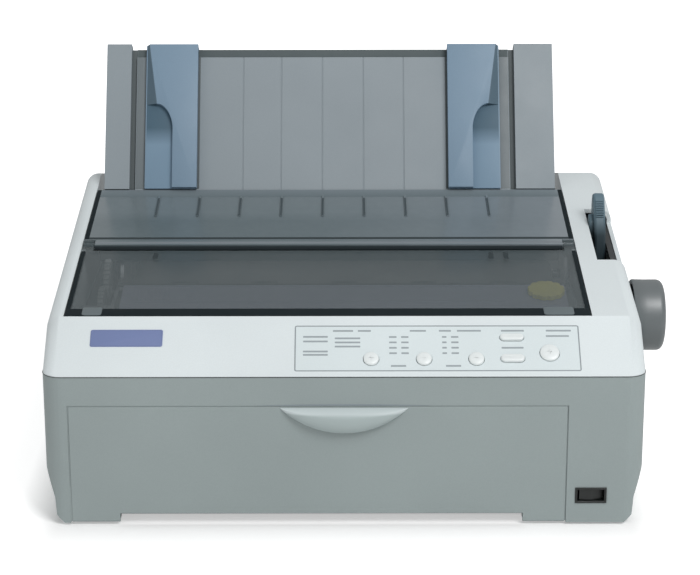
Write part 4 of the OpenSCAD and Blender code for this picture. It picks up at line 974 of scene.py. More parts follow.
# --- Case shells, feet and screws ----------------------------------------------------
@dataclass
class CaseShells:
    """Both case shells with softened edges, their parting line, feet and screws.

    Lengths are in millimetres, in the case frame.
    """

    width: float = 390.0
    depth: float = 342.0
    corner: float = 13.0
    foot_places: Span = (31.3, 310.0)
    foot_x: float = 150.0
    foot_radius: float = 8.0
    screw_x: float = 179.0
    screw_z: float = 2.1
    screw_places: Span = (34.0, 318.0)

    def parting(self) -> None:
        """Lays a painted shadow in the parting: a thin dark ring round the ground plan."""
        line = edging(self.width, self.depth, self.corner, 8, rectangle(0.5, 0.5, 0.1, 2))
        make("parting_line", line.shift(y=self.depth / 2), CASE.upright(z=CASE.split_h),
             "lower_case", "shadow_grey")

    def feet(self) -> None:
        """Turns the four feet, each with a rounded rim and a dished sole."""
        foot = revolve([(0.2, 0.35), (5.2, 0.3), (5.8, 0.02), (7.2, 0.0), (7.8, 0.25),
                        (self.foot_radius, 0.7), (self.foot_radius, 1.6), (0.2, 1.6)], 48)
        places = [(x, y, 0) for x in (-self.foot_x, self.foot_x) for y in self.foot_places]
        make("feet", foot.at(places), CASE.upright(), "rubber_feet", replaces=True)

    def screw(self) -> Shape:
        """One case screw, head down, with a cross recess in its head.

        The recess follows r(a) = max(min(L/|cos a|, w/|sin a|), min(w/|cos a|, L/|sin a|)),
        the outline of two crossed bars of half length L and half width w.

        Returns:
            The screw, with its head's face at height 0.
        """
        angle = round_turn(64) + 0.01
        c, s = np.abs(np.cos(angle)), np.abs(np.sin(angle))
        long, wide = 1.7, 0.4
        cross = np.maximum(np.minimum(long / c, wide / s), np.minimum(wide / c, long / s))
        levels = [(cross * 0.5, 1.5), (cross, 0.15), (2.5, 0.0), (2.9, 0.5), (2.9, 2.3),
                  (1.5, 2.4), (1.5, 110.0), (0.6, 112.0)]
        return stack([(polar(radius, angle), z) for radius, z in levels])

    def screws(self) -> None:
        """Makes the four long screws that join the shells."""
        places = [(x, y, self.screw_z) for x in (-self.screw_x, self.screw_x)
                  for y in self.screw_places]
        make("screws", self.screw().at(places), CASE.upright(), "case_screws",
             replaces=True, sharp=25)

    def build(self) -> None:
        """Builds the shells, feet and screws."""
        soften("lower_case", 0.5)
        soften("upper_case", 0.5)
        self.parting()
        self.feet()
        self.screws()


# --- Front door ----------------------------------------------------------------------
@dataclass
class FrontDoor:
    """The pull-down door: a softened panel with a moulded crescent grip.

    Lengths are in millimetres on the front face.
    """

    half_width: float = 41.5
    top: float = 81.3
    height: float = 17.0
    reach: float = 8.0
    sunk: float = 1.4
    shade_half: float = 56.0
    gap: float = 82.85
    left: float = -178.76
    right: float = 144.76
    lining_width: float = 0.72
    lining_low: float = 2.5
    faint_top: float = 27.0

    def grip(self) -> Shape:
        """Skins the crescent grip over its width.

        At x the underside is the circle z_b = z_c - sqrt(R^2 - x^2) through both tips and
        the lowest point. With h = top - z_b and D = reach (1 - (x/a)^2)^0.75 the lower
        face goes out and up by (D cos^0.9 t, z_m - 0.7 h sin t), and the upper one by
        (D cos^1.7 t, z_m + 0.3 h sin t), where z_m = z_b + 0.7 h.

        Returns:
            The closed grip.
        """
        a, h0 = self.half_width, self.height
        radius = (a * a + h0 * h0) / (2 * h0)
        x = a * 0.996 * np.sin(np.linspace(-math.pi / 2, math.pi / 2, 61))[:, None]
        low = self.top - h0 + radius - np.sqrt(radius ** 2 - x ** 2)
        h = self.top - low
        reach = self.reach * (1 - (x / a) ** 2) ** 0.75
        middle = low + 0.7 * h
        t = quarter(12)
        upper_z = middle + 0.3 * h * np.sin(t[1:])
        back = np.full(x.shape, -self.sunk)
        out = np.concatenate([reach * np.cos(t[::-1]).clip(0) ** 0.9,
                              reach * np.cos(t[1:]).clip(0) ** 1.7, back, back], axis=1)
        z = np.concatenate([middle - 0.7 * h * np.sin(t[::-1]), upper_z, upper_z[:, -1:],
                            low], axis=1)
        return loft(np.stack([np.broadcast_to(x, z.shape), z, out], axis=-1))

    @staticmethod
    def trim(work: bmesh.types.BMesh) -> None:
        """Takes the plain grip off the copied door and closes the panel behind it.

        Args:
            work: The merged copy of the door.
        """
        tolerance = 0.03
        face = CASE.point(0, -tolerance, 0)[1]
        proud = [vert for vert in work.verts if vert.co.y < face]
        bmesh.ops.delete(work, geom=proud, context="VERTS")
        bmesh.ops.holes_fill(work, edges=work.edges)

    def shade(self) -> Shape:
        """A low lens of painted shadow over the door's gap, where the grip leaves the case in
        shade.

        Its upper edge is z = z_0 + 0.95 (1 - (x/w)^2) over the half width w.

        Returns:
            The flat lens.
        """
        x = np.linspace(-1, 1, 31)
        upper = np.column_stack([x * self.shade_half, self.gap + 0.06 + 0.95 * (1 - x ** 2)])
        lower = level(x[:, None] * self.shade_half, self.gap)
        return slab(np.concatenate([lower, upper[::-1]]), -0.6, 0.1, 0, 0)

    def lining(self) -> list[Shape]:
        """Strips along the door's gap, a little below the face of the case.

        Low on the left the strip lies nearly flush, where the gap is hardly visible.

        Returns:
            One strip for each stretch of the gap.
        """
        width, low = self.lining_width, self.lining_low
        corner = self.gap - 0.1 - width
        strips = [(self.left, self.left + width, self.faint_top, corner, -0.45),
                  (self.left, self.left + width, low, self.faint_top, -0.12),
                  (self.left, self.right, corner, corner + width, -0.45),
                  (self.right - width, self.right, low, corner, -0.8)]
        return [block(x0, x1, z0, z1, -1.6, face, 0, 0) for x0, x1, z0, z1, face in strips]

    def build(self) -> None:
        """Builds the panel, the grip, the painted shadow above it and the lining of the gap."""
        make("door_gap_lining", self.lining(), CASE.front(), "lower_case", "case_grey")
        # guide_grey, darker than the case, paints the shadow above the grip.
        make("grip_painted_shadow", self.shade(), CASE.front(), "lower_case", "guide_grey")
        soften("front_door", 0.4, change=self.trim)
        # The grip's finish carries a painted highlight on its upper face.
        make("door_grip", self.grip(), CASE.front(), "front_door", "grip_painted_highlight", sharp=40)


# --- Smoked covers -------------------------------------------------------------------
@dataclass
class Covers:
    """The window flap and the ribbed rear cover.

    Lengths are in millimetres on the covers' plane: across, up the slope, and out.
    """

    left: float = -183.15
    right: float = 161.75
    window: Span = (0.6, 104.2)
    rear: Span = (111.8, 213.7)
    thick: float = 2.5
    frame: float = 3.0
    knuckle: float = 8.4
    lip: float = 10.6
    bead: float = 7.4
    rib_count: int = 9
    rib_pitch: float = 30.2
    rib_middle: Span = (-15.5, 179.8)
    tabs: tuple[Span, ...] = ((-172.0, -159.0), (131.0, 151.0))
    marks: Triple = (-130.7, 102.0, 112.4)

    def lay(self, name: str, node: str, shape: Shape | list[Shape], paint: str) -> None:
        """Makes a piece on the covers' plane."""
        make(name, shape, CASE.covers(), node, paint)

    def bar(self, margin: float, low: float, high: float, under: float, over: float,
            corner: float, rim: float) -> Shape:
        """A block across the cover that stops short of both sides by a margin."""
        return block(self.left + margin, self.right - margin, low, high, under, over,
                     corner, rim)

    def borders(self, low: float, high: float) -> list[Shape]:
        """The two dark side borders between two distances up the slope."""
        return [block(x, x + self.frame, low, high, -self.thick - 0.3, 0.2, 0.6, 0.3)
                for x in (self.left, self.right - self.frame)]

    def window_trim(self) -> None:
        """Adds the dark front lip with its two finger pads, the borders and the marks."""
        start, end = self.window
        top = start + self.lip
        rear = self.rear[0]
        pads = [block(x0, x1, start + 0.2, top + 1, 0.1, 0.8, 2.2, 0.4)
                for x0, x1 in self.tabs]
        marks = [block(x - 1.6, x + 1.6, rear - 21.5, rear - 11.5, -1.2, 0.1, 0.9, 0.08)
                 for x in self.marks]
        for name, shape, paint in (
                ("window_lip", self.bar(0, start, top, -self.thick - 0.4, 0.25, 1.2, 0.35),
                 "lip_black"),
                ("window_pads", pads, "smoke_pad"),
                ("window_borders", self.borders(top - 1, end - 1), "lip_black"),
                ("window_marks", marks, "groove_grey")):
            self.lay(name, "cover_window", shape, paint)

    def bead_shape(self) -> Shape:
        """The rounded bead along the front edge of the rear cover, drawn out sideways.

        Returns:
            The closed bead.
        """
        start, under = self.rear[0], -self.thick - 0.1
        corner = [(start + 0.8, under), (start + self.bead, under),
                  (start + self.bead, 0.1), (start + self.bead * 0.75, 1.2),
                  (start + self.bead * 0.25, 1.2), (start + 0.8, -0.4)]
        section = fillet(corner, 1.6, 6)
        x0, x1 = self.left + self.knuckle, self.right - self.knuckle
        return loft(np.array([level(inset(section, d), x)[:, [2, 0, 1]]
                              for x, d in ((x0, 0.3), (x0 + 0.3, 0), (x1 - 0.3, 0),
                                           (x1, 0.3))]))

    def teeth(self) -> Shape:
        """The tear edge: a strip whose free edge is a row of fine teeth.

        The edge follows s = s0 + 2 d |((x / p) mod 1) - 1/2|, a triangle wave of pitch p
        and depth d.

        Returns:
            The toothed strip.
        """
        pitch, deep, margin = 2.4, 1.6, self.knuckle + 3
        x = np.arange(self.left + margin, self.right - margin, pitch / 2)
        edge = self.rear[0] + 0.35 + deep * 2 * np.abs((np.arange(len(x)) / 2) % 1 - 0.5)
        back = self.rear[0] + 5
        outline = np.concatenate([np.column_stack([x, edge]), [[x[-1], back], [x[0], back]]])
        return slab(outline, -self.thick - 1.0, -self.thick - 0.1, 0, 0)

    def rear_trim(self) -> None:
        """Adds bead, ribs, rim and borders, with painted shade in groove, bead face, ribs and
        slot, and a painted reflection on the rim.
        """
        start, end = self.rear
        groove = start + self.bead
        middle = (self.rib_count - 1) / 2
        x, s = self.rib_middle
        ribs = slab(rectangle(1.8, 33.0, 0.85), -0.4, 1.05, 0, 0.45).at(
            [(x + (i - middle) * self.rib_pitch, s, 0) for i in range(self.rib_count)])
        for name, shape, paint in (
                ("cover_bead", self.bead_shape(), "bead_grey"),
                # bead_groove: a dark bar of painted shade in the groove behind the bead.
                ("bead_groove", self.bar(1, groove - 0.2, groove + 7.6, -1.2, 0.14, 0.3, 0.12),
                 "groove_grey"),
                # bead_face: painted shade on the bead's front face, which faces down into the
                # slot.
                ("bead_face", self.bar(self.knuckle, start - 0.15, start + 1.1,
                                       -self.thick - 0.6, 0.1, 0.3, 0.25), "bead_painted_shade"),
                # paper_ribs: the ribs are painted dark, standing in for the shade along them.
                ("paper_ribs", ribs, "rib_painted_shade"),
                # rear_rim: lighter towards the rear edge, a painted reflection.
                ("rear_rim", self.bar(self.frame, end - 13.5, end - 0.3, -0.5, 0.12, 0.4, 0.1),
                 "rear_painted_reflection"),
                ("cover_borders", self.borders(groove + 1, end - 0.4), "lip_black"),
                ("tear_edge", self.teeth(), "lip_black"),
                # A black block under the bead: painted shadow in the paper slot.
                ("slot_painted_shadow", self.bar(self.knuckle + 2, start + 3.4, start + 5.4, -13.0,
                                         -self.thick + 0.2, 0.6, 0.4), "lip_black")):
            self.lay(name, "rear_cover", shape, paint)

    def build(self) -> None:
        """Builds both covers."""
        soften("cover_window", 0.35)
        soften("rear_cover", 0.3)
        self.window_trim()
        self.rear_trim()


# --- Sheet guide ---------------------------------------------------------------------
@dataclass
class SheetGuide:
    """The leaning sheet guide with its two edge guides.

    Lengths are in millimetres on the guide's plane: across, up the guide, and forward.
    """

    plate: Span = (-155.8, 124.1)
    groove: float = 4.0
    groove_floor: float = -3.0
    band: Span = (103.0, 109.3)
    band_floor: float = -2.2
    top: float = 111.4
    left_edge: float = -148.5
    right_edge: float = 116.8
    edge_width: float = 39.0
    rail: float = 18.5
    shoulder: Span = (46.2, 64.8)
    wedge_low: float = 8.6
    wedge_top: float = 2.4

    def linings(self) -> None:
        """Lines the grooves, the set-back band and the plate's edges with shadow."""
        left, right = self.plate
        low, high = self.band
        inner = self.left_edge + self.edge_width
        outer = self.right_edge - self.edge_width
        floor, step = self.groove_floor, self.band_floor
        grooves = [block(x, x + self.groove - 0.2, 0.5, high - 0.4, floor - 0.3, floor + 0.25,
                         0.4, 0.1) for x in (left - self.groove + 0.1, right + 0.1)]
        margins = [block(x, x + 8.5, 0.6, low, -1.2, -0.85, 0.4, 0.1)
                   for x in (left + 0.4, right - 8.9)]
        shadows = [block(x, x + 1.5, 0.6, low, -1.2, -0.82, 0.3, 0.08)
                   for x in (inner + 0.1, outer - 1.6)]
        band = block(left + 0.3, right - 0.3, low + 0.2, high - 0.1, step - 0.4, step + 0.25,
                     0.4, 0.15)
        for name, shape, paint in (("guide_grooves", grooves, "guide_shade"),
                                   ("guide_margins", margins, "band_grey"),
                                   ("guide_shadows", shadows, "guide_shade"),
                                   ("guide_band", band, "band_dark")):
            make(name, shape, CASE.guide(), "paper_guide", paint)

    def outline(self) -> np.ndarray:
        """Outline of the left edge guide's rail and head over its rounded shoulder.

        The shoulder is a quarter ellipse from the head's outer side down to the rail.

        Returns:
            Array (k, 2), counterclockwise from the rail's inner foot.
        """
        low, high = self.shoulder
        inner = self.edge_width - self.rail
        t = quarter(12)
        arc = np.column_stack([self.wedge_low + (inner - self.wedge_low) * np.sin(t),
                               low + (high - low) * np.cos(t) ** 1.15])
        return np.concatenate([[[inner, 0.3], [self.edge_width, 0.3],
                                [self.edge_width, self.top], [self.wedge_top, self.top]], arc])

    def body(self) -> Shape:
        """The left edge guide: base plate, rail with a slanted head, and hook behind.

        Returns:
            Rail, head, base and hook as one shape.
        """
        width, top = self.edge_width, self.top
        head = self.outline()
        rail = stack([(inset(head, d), out)
                      for d, out in ((0.0, 1.2), (0.0, 5.1), (0.12, 5.38), (0.4, 5.5))])
        plates = [block(0, width, low, top, under, over, 0.8, 0.35) for low, under, over in
                  ((0, -0.7, 1.9), (top - 3.5, -7.3, 1.8), (top - 15.8, -7.3, -5.3))]
        return join([rail] + plates)

    def wedge(self) -> Shape:
        """The slanted flank on the head's outer side, from the base up to the head, painted dark
        as its shade.

        Returns:
            The closed wedge.
        """
        high, top = self.shoulder[1], self.top - 0.3
        low, tip = self.wedge_low, self.wedge_top
        base, crest = (np.array([[x0, high], [low + 0.3, high], [tip + 0.3, top], [x1, top]])
                       for x0, x1 in ((0.8, 0.8), (low - 0.5, tip - 0.2)))
        return stack([(base, 1.5), (base, 2.0), (crest, 5.2)])

    def pocket(self) -> Shape:
        """The floor under the shoulder, on the base plate, with painted shadow that darkens it
        towards the shoulder.

        Returns:
            The thin plate.
        """
        line = self.outline()
        edge = np.concatenate([line[4:], line[:1], [[0.8, 0.3], [0.8, self.shoulder[1]]]])
        return slab(edge[::-1], 1.6, 1.97, 0, 0.05)

    def build(self) -> None:
        """Builds the guide and both edge guides, of which the right one is mirrored."""
        soften("paper_guide", 0.6)
        self.linings()
        for node, side, edge in (("edge_guide_left", 1, self.left_edge),
                                 ("edge_guide_right", -1, self.right_edge)):
            for part, shape, paint, sharp in (("_body", self.body(), "", 36),
                                              ("_pocket", self.pocket(), "pocket_painted_shadow", 34),
                                              ("_wedge", self.wedge(), "wedge_painted_shade", 34)):
                turned = Shape(shape.points * [side, 1, 1], shape.faces).outward()
                make(node + part, turned.shift(edge), CASE.guide(), node, paint,
                     replaces=part == "_body", sharp=sharp)


# --- Controls ------------------------------------------------------------------------
@dataclass(frozen=True)
class Patch:
    """A button or a printed bar on the slope, by its centre and size."""

    x: float
    y: float
    width: float
    height: float = 1.3


@dataclass
class ControlPanel:
    """The inset panel with its buttons, generic legends and the bare badge plate.

    Lengths are in millimetres on the control slope: across, up the slope, and out.
    """

    inset_x: Span = (-31.4, 152.0)
    inset_y: Span = (5.2, 39.3)
    out: float = 1.8
    rise: float = 1.1
    base: float = -1.5
    stem: float = -7.8
    badge: Patch = Patch(-141.3, 30.2, 47.0, 13.2)

    def buttons(self) -> dict[str, Patch]:
        """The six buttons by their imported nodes.

        Returns:
            Each button's centre and size, by its node.
        """
        rounds = {f"button_round_{i + 1}": Patch(x, 13.9, 10.0, 10.0)
                  for i, x in enumerate((17.4, 51.6, 85.4))}
        return rounds | {"button_oblong_upper": Patch(108.8, 30.4, 15.5, 5.2),
                         "button_oblong_lower": Patch(108.8, 14.2, 15.5, 6.0),
                         "button_large": Patch(132.8, 18.4, 12.6, 12.6)}

    def cap(self, button: Patch) -> Shape:
        """A button: a cap over the rounded outline with a domed top, and its stem.

        Over the quarter turn t the outline moves in by e (1 - cos t) while the cap rises
        by d sin t, with e nearly half of the button's height.

        Args:
            button: The button's centre and size.

        Returns:
            The cap and its stem, at their place on the slope.
        """
        outline = rectangle(button.width, button.height, button.height / 2 - 0.01, 10)
        depth, edge = button.height / 2 - 1.3, self.out - self.rise
        levels = [(outline, self.base)]
        levels += [(inset(outline, depth * (1 - math.cos(t))), edge + self.rise * math.sin(t))
                   for t in quarter(8)]
        stem = revolve([(1.6, self.stem), (2.0, self.stem + 0.4), (2.0, self.base + 0.2)], 24)
        return join([stack(levels), stem]).shift(button.x, button.y)

    def legends(self) -> list[Patch]:
        """Generic bars where the controls' names stand.

        Returns:
            The bars, by their centres and sizes.
        """
        names = [Patch(x, 35.8, width) for x, width in
                 ((-0.7, 13.1), (13.2, 8.5), (48.0, 10.5), (65.6, 7.8), (81.2, 15.6),
                  (109.5, 14.9), (139.4, 16.3))]
        single = [Patch(35.0, 8.6, 9.8), Patch(70.4, 8.6, 9.8), Patch(109.0, 22.5, 14.2),
                  Patch(138.5, 31.6, 15.0)]
        columns = [Patch(x, y, width) for x, width, rows in
                   ((31.6, 4.9, (31.0, 26.8, 22.6, 18.4)), (39.4, 4.8, (31.0, 26.8, 22.6, 18.4)),
                    (65.0, 2.9, (31.0, 26.8, 22.6, 18.4)), (71.8, 4.8, (31.0, 26.8, 22.6, 18.4)),
                    (-18.6, 16.0, (31.2, 27.6, 19.8, 17.2)), (2.2, 16.5, (30.0, 26.8, 23.6)))
                   for y in rows]
        return names + single + columns

    def trim(self) -> None:
        """Lays the thin film of the legends and a painted shadow line round the panel."""
        bars = [slab(rectangle(mark.width, mark.height, 0.3, 3), -0.05, 0.06, 0, 0)
                .shift(mark.x, mark.y) for mark in self.legends()]
        make("legends", bars, CASE.slope(), "control_panel", "ink_grey")
        (x0, x1), (y0, y1) = self.inset_x, self.inset_y
        line = edging(x1 - x0 + 0.6, y1 - y0 + 0.6, 1.0, 4, rectangle(0.9, 0.7, 0.15, 2))
        make("panel_line", line.shift((x0 + x1) / 2, (y0 + y1) / 2, -0.28), CASE.slope(),
             "control_panel", "line_grey")

    def badge_plate(self) -> None:
        """Makes the bare badge: a rounded plate with a raised rim."""
        width, height = self.badge.width, self.badge.height
        plate = slab(rectangle(width, height, 1.4, 6), -0.2, 0.42, 0, 0.2)
        rim = edging(width - 1.1, height - 1.1, 1.0, 6, rectangle(0.7, 0.5, 0.2, 3), 0.32)
        make("badge", join([plate, rim]).shift(self.badge.x, self.badge.y), CASE.slope(),
             "badge_plate", replaces=True)

    def build(self) -> None:
        """Builds the panel, its buttons, legends and the badge."""
        soften("control_panel", 0.2)
        soften("control_board", 0.15)
        for node, button in self.buttons().items():
            make(node + "_cap", self.cap(button), CASE.slope(), node, replaces=True)
        self.trim()
        self.badge_plate()


# --- Knob, lever and power switch ----------------------------------------------------
@dataclass
class SideControls:
    """The platen knob, the release lever in its slot and the power switch.

    Places are in millimetres in the case frame.
    """

    knob_radius: float = 24.5
    knob_length: float = 22.0
    knob_rim: float = 4.6
    knob_place: Triple = (197.0, 107.0, 110.0)
    lever_place: Triple = (182.6, 180.0, 118.0)
    switch_place: Span = (160.7, 20.6)

    def knob(self) -> Shape:
        """The turned knob: crowned end, rounded edge, slightly waisted flank.

        Returns:
            The knob, with its inner end at height 0.
        """
        radius, length, rim = self.knob_radius, self.knob_length, self.knob_rim
        edge = [(radius - rim + rim * math.cos(t) - 0.15, length - rim - 0.5 + rim * math.sin(t))
                for t in quarter(8)]
        flank = [(radius - 0.5, 0.0), (radius, 0.6), (radius - 0.2, length * 0.4)]
        crown = [(12.0, length - 0.15), (5.0, length), (0.15, length)]
        inner = [(0.15, length - 5), (5.05, length - 5), (5.05, 0.4), (5.5, 0), (8.6, 0),
                 (9.0, 0.4), (9.0, 11), (21.5, 11), (21.5, 0.4)]
        return revolve(inner + flank + edge + crown, 96)

    def lever(self) -> None:
        """Adds the thumb tab and the grip ridges to the softened lever."""
        # The lever's finish is darker low down: painted shadow from its slot.
        soften("release_lever", 1.6)
        soften("lever_guide", 0.2)
        side = CASE.right(*self.lever_place)
        tab = slab(fillet([(-1, 24), (10, 26), (13, 36), (9, 43), (1, 38)], 3), -7.2, -3.4,
                   0.9, 0.3)
        ridge = revolve([(0.1, -3), (0.45, -2.8), (0.5, 0), (0.45, 2.8), (0.1, 3)], 12)
        places = np.linspace((-2.4, 41.6, 0.0), (7.0, 53.2, 0.0), 12)[1:-1].tolist()
        make("lever_tab", tab, side, "release_lever", sharp=40)
        make("lever_ridges", ridge.at(places), side, "release_lever", sharp=40)

    def switch(self) -> None:
        """Softens the switch and adds a rim round its pocket."""
        soften("power_switch_housing", 0.3)
        soften("power_rocker", 0.5)
        rim = edging(18.6, 8.9, 0.8, 4, rectangle(0.9, 0.5, 0.2, 3), 0.62)
        make("switch_rim", rim, CASE.front(*self.switch_place), "power_switch_housing")

    def build(self) -> None:
        """Builds the three controls."""
        make("knob", self.knob(), CASE.right(*self.knob_place), "platen_knob",
             replaces=True, sharp=50)
        self.lever()
        self.switch()


# --- Print mechanism -----------------------------------------------------------------
def gear(radius: float, teeth: int, width: float, bore: float) -> Shape:
    """A spur gear with a recessed web and a hub, its axis along the out axis.

    The rim's radius is r - d (1 - q(a)), where q is 1 on a tooth and 0 in a gap:
    q = clip(2.4 (cos(n a) + 0.15), 0, 1).

    Args:
        radius: Radius over the teeth.
        teeth: Number of teeth.
        width: Length along the axis.
        bore: Radius of the hole.

    Returns:
        The closed gear, from 0 to its width along the axis.
    """
    tooth, web, chamfer = 1.2, 0.9, 0.35
    angle = round_turn(teeth * 10)
    rim = radius - tooth * (1 - np.clip(2.4 * (np.cos(teeth * angle) + 0.15), 0, 1))
    inner = radius - tooth - max(1.2, radius * 0.12)
    hub = bore + max(1.0, radius * 0.12)
    deep = web if inner > hub + 1 else 0.0
    half = [(bore, 0.0), (hub, 0.0), (hub, deep), (inner, deep), (inner, 0.0),
            (rim - chamfer, 0.0), (rim, chamfer)]
    profile = half + [(edge, width - height) for edge, height in half[::-1]]
    return stack([(polar(edge, angle), height) for edge, height in profile], ring=True)


@dataclass
class FeedTrain:
    """Platen, its shaft and gears, the tractors and the feed motor.

    Lengths are in millimetres in the case frame.
    """

    platen_place: Triple = (0.0, 107.0, 110.0)
    platen_radius: float = 15.0
    platen_half: float = 145.0
    gear_width: float = 4.0

    def platen(self) -> None:
        """Turns the rubber roller with its chamfered ends and end grooves."""
        r = self.platen_radius
        end = [(5.05, 0.3), (12.5, 0.3), (12.8, 0), (r - 0.8, 0), (r, 0.8), (r, 6),
               (r - 0.35, 6.4), (r - 0.35, 7.4), (r, 7.8)]
        profile = mirrored([(radius, z - self.platen_half) for radius, z in end])
        make("platen", revolve(profile, 96), CASE.right(*self.platen_place),
             "platen_roller", replaces=True)

    def gears(self) -> None:
        """Cuts the gears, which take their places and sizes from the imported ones."""
        for node, teeth, bore in (("platen_gear", 32, 5.0), ("reduction_gear", 26, 3.05),
                                  ("motor_pinion", 8, 2.05), ("transfer_gear_1", 42, 3.05),
                                  ("transfer_gear_2", 42, 3.05), ("transfer_gear_3", 42, 3.05)):
            low, high = CASE.extent(node)
            _, y, z = (low + high) / 2
            make(node + "_cut", gear((high - low)[2] / 2, teeth, self.gear_width, bore),
                 CASE.right(low[0], y, z), node, replaces=True, sharp=28)

    def motor_details(self) -> None:
        """Adds the end bands and the connector to the feed motor."""
        low, high = CASE.extent("feed_motor")
        _, y, z = (low + high) / 2
        side = CASE.right(high[0], y, z)
        ring = revolve([(16.6, 0), (17.1, 0.3), (17.1, 2.2), (16.6, 2.5), (16.4, 1.2)], 64)
        make("motor_bands", ring.at([(0, 0, -24.5), (0, 0, -4.0)]), side, "feed_motor")
        make("motor_plug", block(-6, 6, 13, 19.5, -16, -8, 0.6, 0.4), side, "feed_motor",
             "gear_plastic")

    def build(self) -> None:
        """Builds the feed train."""
        self.platen()
        self.gears()
        for node, width in (("platen_shaft", 0.4), ("tractor_shaft", 0.2),
                            ("tractor_bar", 0.4), ("tractor_left", 0.6),
                            ("tractor_flap_left", 0.4), ("tractor_right", 0.6),
                            ("tractor_flap_right", 0.4), ("feed_motor", 0.5)):
            soften(node, width)
        self.motor_details()


@dataclass
class PaperBail:
    """The bail: a steel rod with crowned rollers between two stamped arms.

    Lengths are in millimetres in the case frame.
    """

    rod: Span = (120.05, 125.55)
    pivot: Span = (140.0, 116.0)
    half: float = 154.9
    arm: float = 2.0
    rollers: int = 5
    pitch: float = 55.0
    outer: float = 158.0

    def arms(self) -> list[Shape]:
        """Both stamped arms with the pins on which they turn.

        Returns:
            Arms and pins, drawn round the rod's axis.
        """
        reach = np.subtract(self.pivot, self.rod)
        span = float(np.linalg.norm(reach))
        c, s = reach / span
        outline = fillet([(-3.5, -3.2), (3, -3.4), (span - 3, -5), (span + 5, -5),
                          (span + 5, 5), (span - 3, 5), (3, 3.4), (-3.5, 3.2)], 4.5)
        outline = outline @ np.array([[c, s], [-s, c]])
        arms = [slab(outline, x, x + self.arm, 0.3, 0.3)
                for x in (-self.half, self.half - self.arm)]
        pins = [revolve([(0.1, x0), (1.7, x0), (2.0, x0 + 0.3), (2.0, x1 - 0.3), (1.7, x1),
                         (0.1, x1)], 24).shift(*reach)
                for x0, x1 in ((-self.outer, -self.half + 0.5), (self.half - 0.5, self.outer))]
        return arms + pins

    def build(self) -> None:
        """Builds rod, rollers and arms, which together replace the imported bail."""
        plane, end = CASE.right(0, *self.rod), -self.half
        rod = revolve(mirrored([(0.1, end), (1.6, end), (2.0, end + 0.4)]), 32)
        roller = revolve([(2.02, -9), (4.3, -9), (4.75, -8.4), (4.95, -4), (5.0, 0),
                          (4.95, 4), (4.75, 8.4), (4.3, 9), (2.02, 9)], 48)
        middle = (self.rollers - 1) / 2
        places = [(0.0, 0.0, (i - middle) * self.pitch) for i in range(self.rollers)]
        make("bail_rod", rod, plane, "paper_bail", "rod_steel", replaces=True)
        make("bail_rollers", roller.at(places), plane, "paper_bail", "platen_rubber")
        make("bail_arms", self.arms(), plane, "paper_bail", "sheet_steel", sharp=30)


